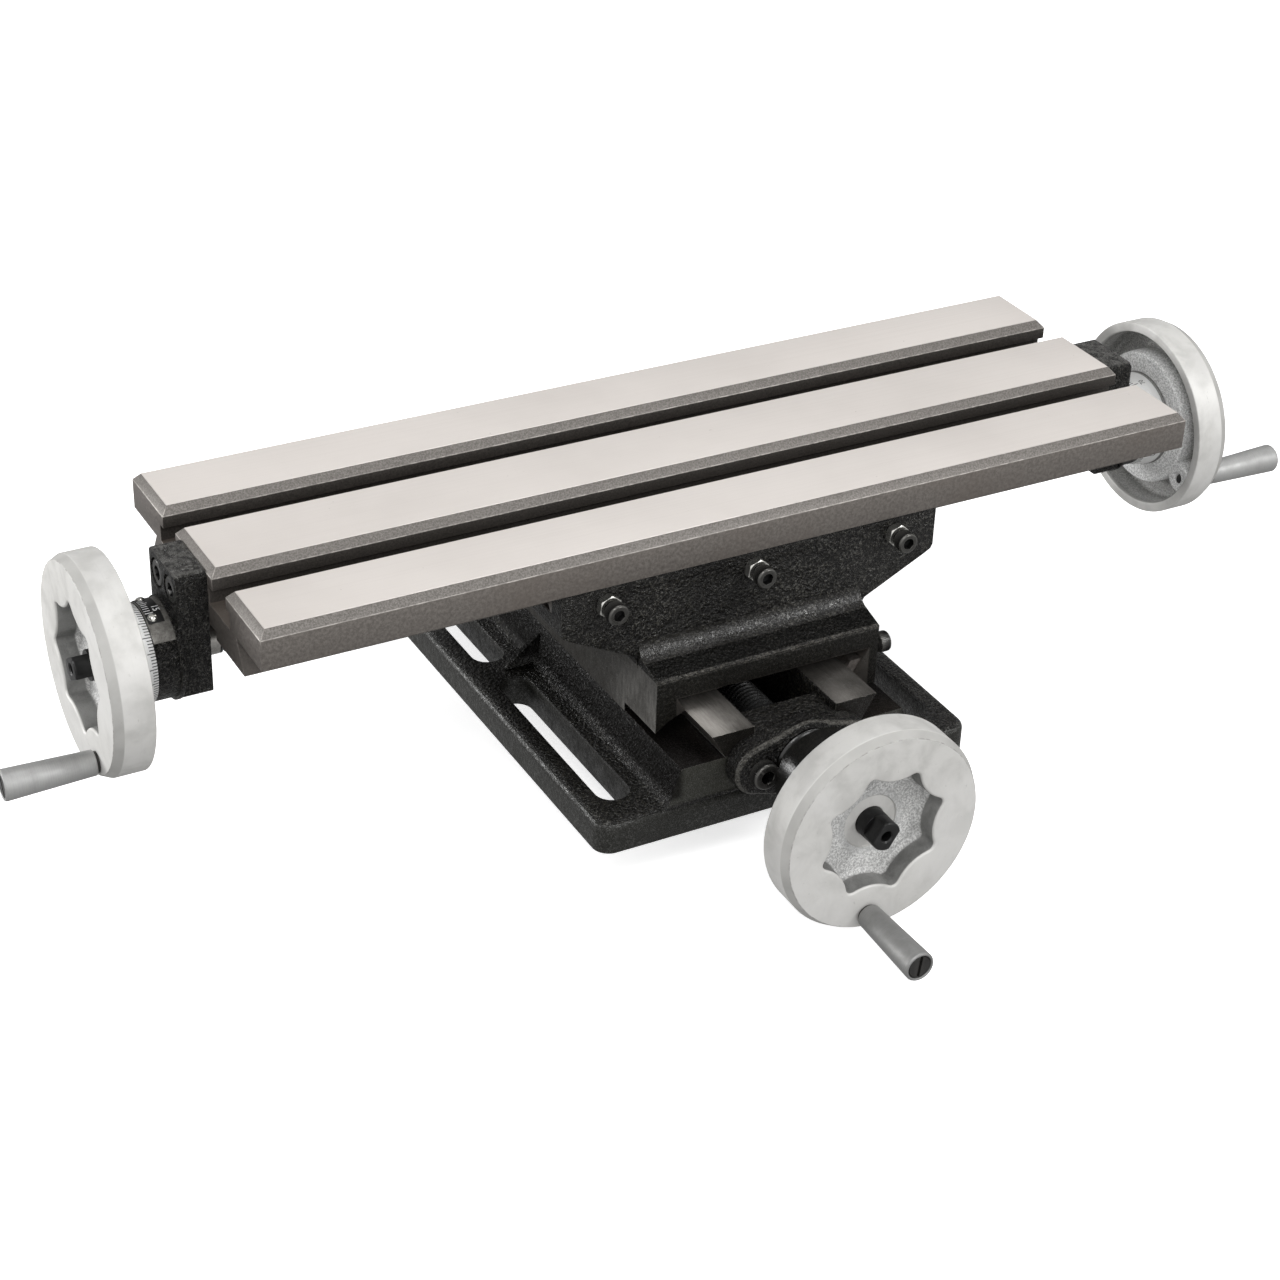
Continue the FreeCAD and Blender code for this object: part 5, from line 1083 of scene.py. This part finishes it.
def spindle_mesh():
    """Stud, collar and slotted head about the local Z axis."""
    n = 96
    rod = rings([(1.0, 1.8), (2.4, 1.8), (3.0, 2.4), (3.0, 57.8), (1.0, 57.8)], 48, close_start=True, close_end=True)
    col = rings([(2.6, 18.2), (4.6, 18.2), (4.9, 18.45), (4.9, 19.0), (4.7, 19.2), (2.6, 19.2)], n, loop=True)
    w, d, r, top = 0.75, 1.3, 5.4, 59.85

    def half(sign):
        # one side of the head's face beside the slot
        a0 = math.asin(w / r)
        k = 36
        arc = [(r * math.cos(a0 + (math.pi - 2 * a0) * i / k), r * math.sin(a0 + (math.pi - 2 * a0) * i / k)) for i in range(k + 1)]
        ins = [(x * 0.955, w + (y - w) * 0.95) for x, y in arc]
        verts, faces = [], []
        for ring, z in ((arc, top - d), (arc, top - 0.3), (ins, top)):
            verts += [(x, y * sign, z) for x, y in ring]
        m = k + 1
        for lvl in range(2):
            for i in range(m):
                j = (i + 1) % m
                faces.append((lvl * m + i, lvl * m + j, (lvl + 1) * m + j, (lvl + 1) * m + i))
        faces.append(tuple(range(2 * m, 3 * m)))
        return verts, faces

    base = rings([(2.0, 57.55), (5.15, 57.55), (5.4, 57.8), (5.4, top - d)], n, close_start=True, close_end=True)
    return joined(rod, col, base, half(1), half(-1))


SPINDLE = moved(spindle_mesh(), Matrix.Translation((41, 0, 0)))
GRIP_AT = moved(GRIP, Matrix.Translation((0, 0, 0)))


def dial_mesh():
    n = 200
    rows = rounded(
        [(16.0, -10.85), (22.0, -10.85, 0.3), (23.75, -0.4, 0.3), (23.6, -0.02, 0.1), (16.0, -0.02)], closed=True, steps=3
    )
    return rings([(r, z) for r, z in rows], n, loop=True)


def bar_on_cone(ang, z0, z1, w, r_at, proud=0.03, sink=0.25):
    """A filled line: a thin bar along the axis on a surface of radius r_at(z)."""
    out = []
    for z in (z0, z1):
        for side in (-1, 1):
            for lift in (-sink, proud):
                r = r_at(z) + lift
                a = ang + side * w / 2 / r_at(z)
                out.append((r * math.cos(a), r * math.sin(a), z))
    f = [(0, 1, 3, 2), (4, 6, 7, 5), (0, 4, 5, 1), (2, 3, 7, 6), (1, 5, 7, 3), (0, 2, 6, 4)]
    return out, f


_text_cache = {}


def text_outline(word):
    """Triangles of a word, one unit high, centred on the origin."""
    if word in _text_cache:
        return _text_cache[word]
    c = bpy.data.curves.new("txt", "FONT")
    c.body = word
    c.align_x = "CENTER"
    c.align_y = "CENTER"
    c.size = 1.0
    c.extrude = 0.0
    c.resolution_u = 3
    t = bpy.data.objects.new("txt", c)
    scene.collection.objects.link(t)
    bpy.context.view_layer.update()
    dg = bpy.context.evaluated_depsgraph_get()
    me = bpy.data.meshes.new_from_object(t.evaluated_get(dg))
    v = [(p.co.x, p.co.y) for p in me.vertices]
    f = [tuple(p.vertices) for p in me.polygons]
    bpy.data.objects.remove(t)
    bpy.data.curves.remove(c)
    bpy.data.meshes.remove(me)
    _text_cache[word] = (v, f)
    return v, f


def word_on_cone(word, ang, z, size, r_at, flip=1, turn=0.0, proud=0.03, thick=0.2):
    """A number wrapped on a surface of radius r_at(z), as a thin closed plate."""
    v, f = text_outline(word)
    n = len(v)
    top, low = [], []
    ct, st = math.cos(turn), math.sin(turn)
    for x, y in v:
        x, y = x * size, y * size
        x, y = x * ct - y * st, x * st + y * ct
        zz = z + y * flip
        r = r_at(zz)
        a = ang + flip * x / r
        for lift, dst in ((proud, top), (-thick, low)):
            dst.append(((r + lift) * math.cos(a), (r + lift) * math.sin(a), zz))
    faces = list(f) + [tuple(i + n for i in reversed(q)) for q in f]
    count = {}
    for q in f:
        for i in range(len(q)):
            e = (q[i], q[(i + 1) % len(q)])
            count[tuple(sorted(e))] = count.get(tuple(sorted(e)), []) + [e]
    for k, es in count.items():
        if len(es) == 1:
            a, b = es[0]
            faces.append((b, a, a + n, b + n))
    return top + low, faces


def dial_marks(flip):
    r_at = lambda z: 22.0 + (z + 10.85) * (23.75 - 22.0) / 10.45
    parts = []
    for i in range(100):
        a = 2 * math.pi * i / 100
        ln = 4.4 if i % 10 == 0 else (3.6 if i % 5 == 0 else 2.4)
        parts.append(bar_on_cone(a, -10.8, -10.8 + ln, 0.42, r_at))
        if i % 10 == 0:
            parts.append(word_on_cone(str(i), a, -4.0, 3.4, r_at, flip))
    return joined(*parts)


DIAL = dial_mesh()
MARKS = dial_marks(-1)


def yz(deg):
    a = math.radians(deg)
    return (0, math.cos(a), math.sin(a))


a97 = math.radians(-97.0)
WHEELS = {
    "left": ("long_screw", (-272.1, CY, LONG_Z), (-1, 0, 0), yz(-118.6)),
    "right": ("long_screw", (272.1, CY, LONG_Z), (1, 0, 0), yz(-152.0)),
    "front": ("cross_screw", (0, -194.0, CROSS_Z), (0, -1, 0), (math.cos(a97), 0, math.sin(a97))),
}
for tag, (body, org, out, hand) in WHEELS.items():
    m = axes(org, out, hand)
    o = make(tag + "_handwheel_turned", *WHEEL, body, MATS["wheel"], m, angle=40)
    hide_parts(tag + "_handwheel")
    o = make(tag + "_dial_turned", *DIAL, body, MATS["dial"], m)
    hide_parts(tag + "_dial")
    make(tag + "_dial_marks", *MARKS, body, MATS["black"], m, slot="index_black")
    o = make(tag + "_handle_spindle_turned", *SPINDLE, body, MATS["spindle"], m)
    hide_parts(tag + "_handle_spindle")
    gm = axes(tuple(Vector(org) + 41 * Vector(hand)), out, hand)
    o = make(tag + "_grip_turned", *GRIP, tag + "_grip", MATS["front_grip" if tag == "front" else "grip"], gm)
    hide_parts(tag + "_grip")


# ------------------------------------------------------------------ index plate lines
def plate_marks(angles, word_at):
    """White lines on a drum's curved plate. Angles are in degrees about the local Z, ticks at the
    dial's side."""
    r_at = lambda z: 22.65
    parts = []
    for i, d in enumerate(angles):
        ln = 3.7 if i % 5 == 0 else 2.9
        parts.append(bar_on_cone(math.radians(d), -ln, -0.1, 0.34, r_at, 0.03, 0.1))
    for word, d in word_at:
        parts.append(word_on_cone(word, math.radians(d), -5.5, 4.3, r_at, -1, 0.0, 0.03, 0.1))
    return joined(*parts)


for tag, body, org, out, xdir, zero, step, word in (
    ("left", "table", (-260.3, CY, LONG_Z), (-1, 0, 0), (0, -1, 0), 76.0, 3.96, 82.4),
    ("right", "table", (260.3, CY, LONG_Z), (1, 0, 0), (0, 1, 0), 76.0, 3.96, 82.4),
    ("front", "base", (0, -182.3, CROSS_Z), (0, -1, 0), (1, 0, 0), 93.5, 3.96, 99.9),
):
    # angles about the screw's axis: the lines start beside the near screw and run over the top
    marks = plate_marks([zero + step * k for k in range(8)], [("15", word)])
    make(tag + "_index_lines", *marks, body, MATS["white"], axes(org, out, xdir), slot="index_black")


# ------------------------------------------------------------------ screws and nuts
def screws(name, node, body, spots, spec, material="oxide"):
    parts = []
    for i, (pos, out, x) in enumerate(spots):
        parts.append(moved(cap_screw_mesh(*spec, turn=0.5 * i + 0.3), mm_axes(pos, out, x)))
    o = make(name, *joined(*parts), body, MATS[material], angle=35)
    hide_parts(node)
    return o


K = 74.5
screws("table_gib_cap_screws", "table_gib_screws", "saddle",
       [((K * k, CY - 80.5, 101.5), (0, -1, 0), (1, 0, 0)) for k in (-1, 0, 1)], (5.0, 5.5, 3.0, 19.0, 1.0, 5.0, 3.0))
screws("cross_gib_cap_screws", "cross_gib_screws", "saddle",
       [((69.5, CY + K * k, 44.0), (1, 0, 0), (0, 1, 0)) for k in (-1, 0, 1)], (5.0, 5.5, 3.0, 21.5, 1.0, 5.0, 3.0))
screws("cross_bracket_cap_screws", "cross_bracket_screws", "base",
       [((23.0 * s, -148.0, CROSS_Z), (0, -1, 0), (1, 0, 0)) for s in (1, -1)], (6.5, 5.6, 4.0, 26.0, 1.25, 6.0, 3.2))
screws("end_bracket_cap_screws", "end_bracket_screws", "table",
       [((241.3 * s, CY + 8.1 * t, 117.3), (s, 0, 0), (0, 1, 0)) for s in (1, -1) for t in (1, -1)], (6.45, 7.9, 4.0, 26.5, 1.25, 6.0, 4.0))
for name, node, spots in (
    ("table_gib_hex_nuts", "table_gib_locknuts", [((K * k, CY - 74.02, 101.5), (0, -1, 0), (math.cos(0.35 + k), 0, math.sin(0.35 + k))) for k in (-1, 0, 1)]),
    ("cross_gib_hex_nuts", "cross_gib_locknuts", [((58.02, CY + K * k, 44.0), (1, 0, 0), (0, math.cos(0.6 - k), math.sin(0.6 - k))) for k in (-1, 0, 1)]),
):
    parts = [moved(nut_mesh(10.0, 4.2, 2.9), mm_axes(p, d, x)) for p, d, x in spots]
    o = make(name, *joined(*parts), "saddle", MATS["zinc"], angle=30)
    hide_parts(node)


# ------------------------------------------------------------------ floor, light and camera
floor_me = bpy.data.meshes.new("studio_floor")
S = 14.0
floor_me.from_pydata([(-S, -S, 0), (S, -S, 0), (S, S, 0), (-S, S, 0)], [], [(0, 1, 2, 3)])
fm = Mat("studio_floor_pale")
fm.set(color=fm.mix(fm.noise(2.0, 2.0), (0.90, 0.90, 0.90), (0.93, 0.93, 0.93)), rough=0.95, spec=0.0)
fm.b.inputs["Emission Color"].default_value = (1.0, 1.0, 1.0, 1.0)
fm.b.inputs["Emission Strength"].default_value = 0.62
floor_me.materials.append(fm.m)
floor = bpy.data.objects.new("studio_floor", floor_me)
floor.location = (0, 0, -0.0205)
# the floor is a backdrop only: the pieces are lit by the world and the softboxes
floor.visible_diffuse = False
floor.visible_glossy = False
floor.visible_transmission = False
floor.visible_shadow = False
scene.collection.objects.link(floor)

world = bpy.data.worlds.new("studio")
scene.world = world
world.use_nodes = True
wt = world.node_tree
bg = wt.nodes["Background"]


def wnode(kind, **kw):
    n = wt.nodes.new(kind)
    for k, v in kw.items():
        setattr(n, k, v)
    return n


def wspan(value, a, b, lo, hi):
    n = wnode("ShaderNodeMapRange", interpolation_type="SMOOTHSTEP", clamp=True)
    wt.links.new(value, n.inputs["Value"])
    for key, v in (("From Min", a), ("From Max", b), ("To Min", lo), ("To Max", hi)):
        n.inputs[key].default_value = v
    return n.outputs["Result"]


def wmul(a, b):
    n = wnode("ShaderNodeMath", operation="MULTIPLY")
    wt.links.new(a, n.inputs[0])
    wt.links.new(b, n.inputs[1])
    return n.outputs[0]


def toward(direction):
    """How far a world direction points along a given one, from -1 to 1."""
    n = wnode("ShaderNodeVectorMath", operation="DOT_PRODUCT")
    wt.links.new(wtc.outputs["Generated"], n.inputs[0])
    n.inputs[1].default_value = Vector(direction).normalized()
    return n.outputs["Value"]


wtc = wnode("ShaderNodeTexCoord")
# a bright tent above, a dimmer bench below, and a dark flag behind on the right
up = toward((0, 0, 1))
level = wspan(up, -0.25, 0.22, 0.40, 0.94)
zenith = wspan(up, 0.52, 0.86, 1.0, 0.42)
flag = wspan(toward((0.25, 0.85, 0.46)), 0.50, 0.90, 1.0, 0.52)
left = wspan(toward((-0.92, -0.30, 0.10)), 0.35, 0.95, 1.0, 1.22)
front = wspan(toward((0.10, -0.98, 0.12)), 0.30, 0.95, 1.0, 1.50)
wt.links.new(wmul(wmul(wmul(level, zenith), flag), wmul(left, front)), bg.inputs["Strength"])
bg.inputs["Color"].default_value = (1.0, 1.0, 1.0, 1.0)


def area(name, loc, target, size, power, color=(1, 1, 1)):
    d = bpy.data.lights.new(name, "AREA")
    d.shape = "RECTANGLE"
    d.size, d.size_y = size
    d.energy = power
    d.color = color
    o = bpy.data.objects.new(name, d)
    o.location = loc
    o.rotation_euler = (Vector(target) - Vector(loc)).to_track_quat("-Z", "Y").to_euler()
    scene.collection.objects.link(o)
    return o


area("key_softbox", (-0.9, -1.1, 1.9), (0, -0.05, 0.05), (0.9, 0.7), 15)
area("top_softbox", (0.5, 0.1, 2.0), (0, -0.05, 0.05), (1.2, 0.9), 12)
area("left_strip", (-1.5, 0.9, 0.35), (0, -0.05, 0.06), (1.0, 0.5), 21)
area("front_softbox", (1.15, -1.65, 1.45), (0.05, -0.05, 0.05), (0.55, 0.55), 17)

cam_data = bpy.data.cameras.new("camera")
cam_data.sensor_fit = "HORIZONTAL"
cam_data.sensor_width = 36.0
cam_data.lens = 36.0 * 2708.1975 / 1280.0
cam_data.clip_start = 0.02
cam_data.clip_end = 60.0
cam = bpy.data.objects.new("camera", cam_data)
R = (
    (0.8800899415802786, -0.4738547339319167, 0.030056378017560392),
    (-0.2239483455651423, -0.4700909791647915, -0.8537339221481852),
    (0.418675092700602, 0.7446315615377852, -0.5198413260928206),
)
cm = Matrix(((R[0][0], -R[1][0], -R[2][0]), (R[0][1], -R[1][1], -R[2][1]), (R[0][2], -R[1][2], -R[2][2]))).to_4x4()
cm.translation = Vector((-0.5588811, -0.9661108 - 0.021, 0.5712411 + 0.130))
cam.matrix_world = cm
scene.collection.objects.link(cam)
scene.camera = cam
scene.view_settings.view_transform = "Standard"
scene.view_settings.look = "None"
scene.view_settings.exposure = 0.0
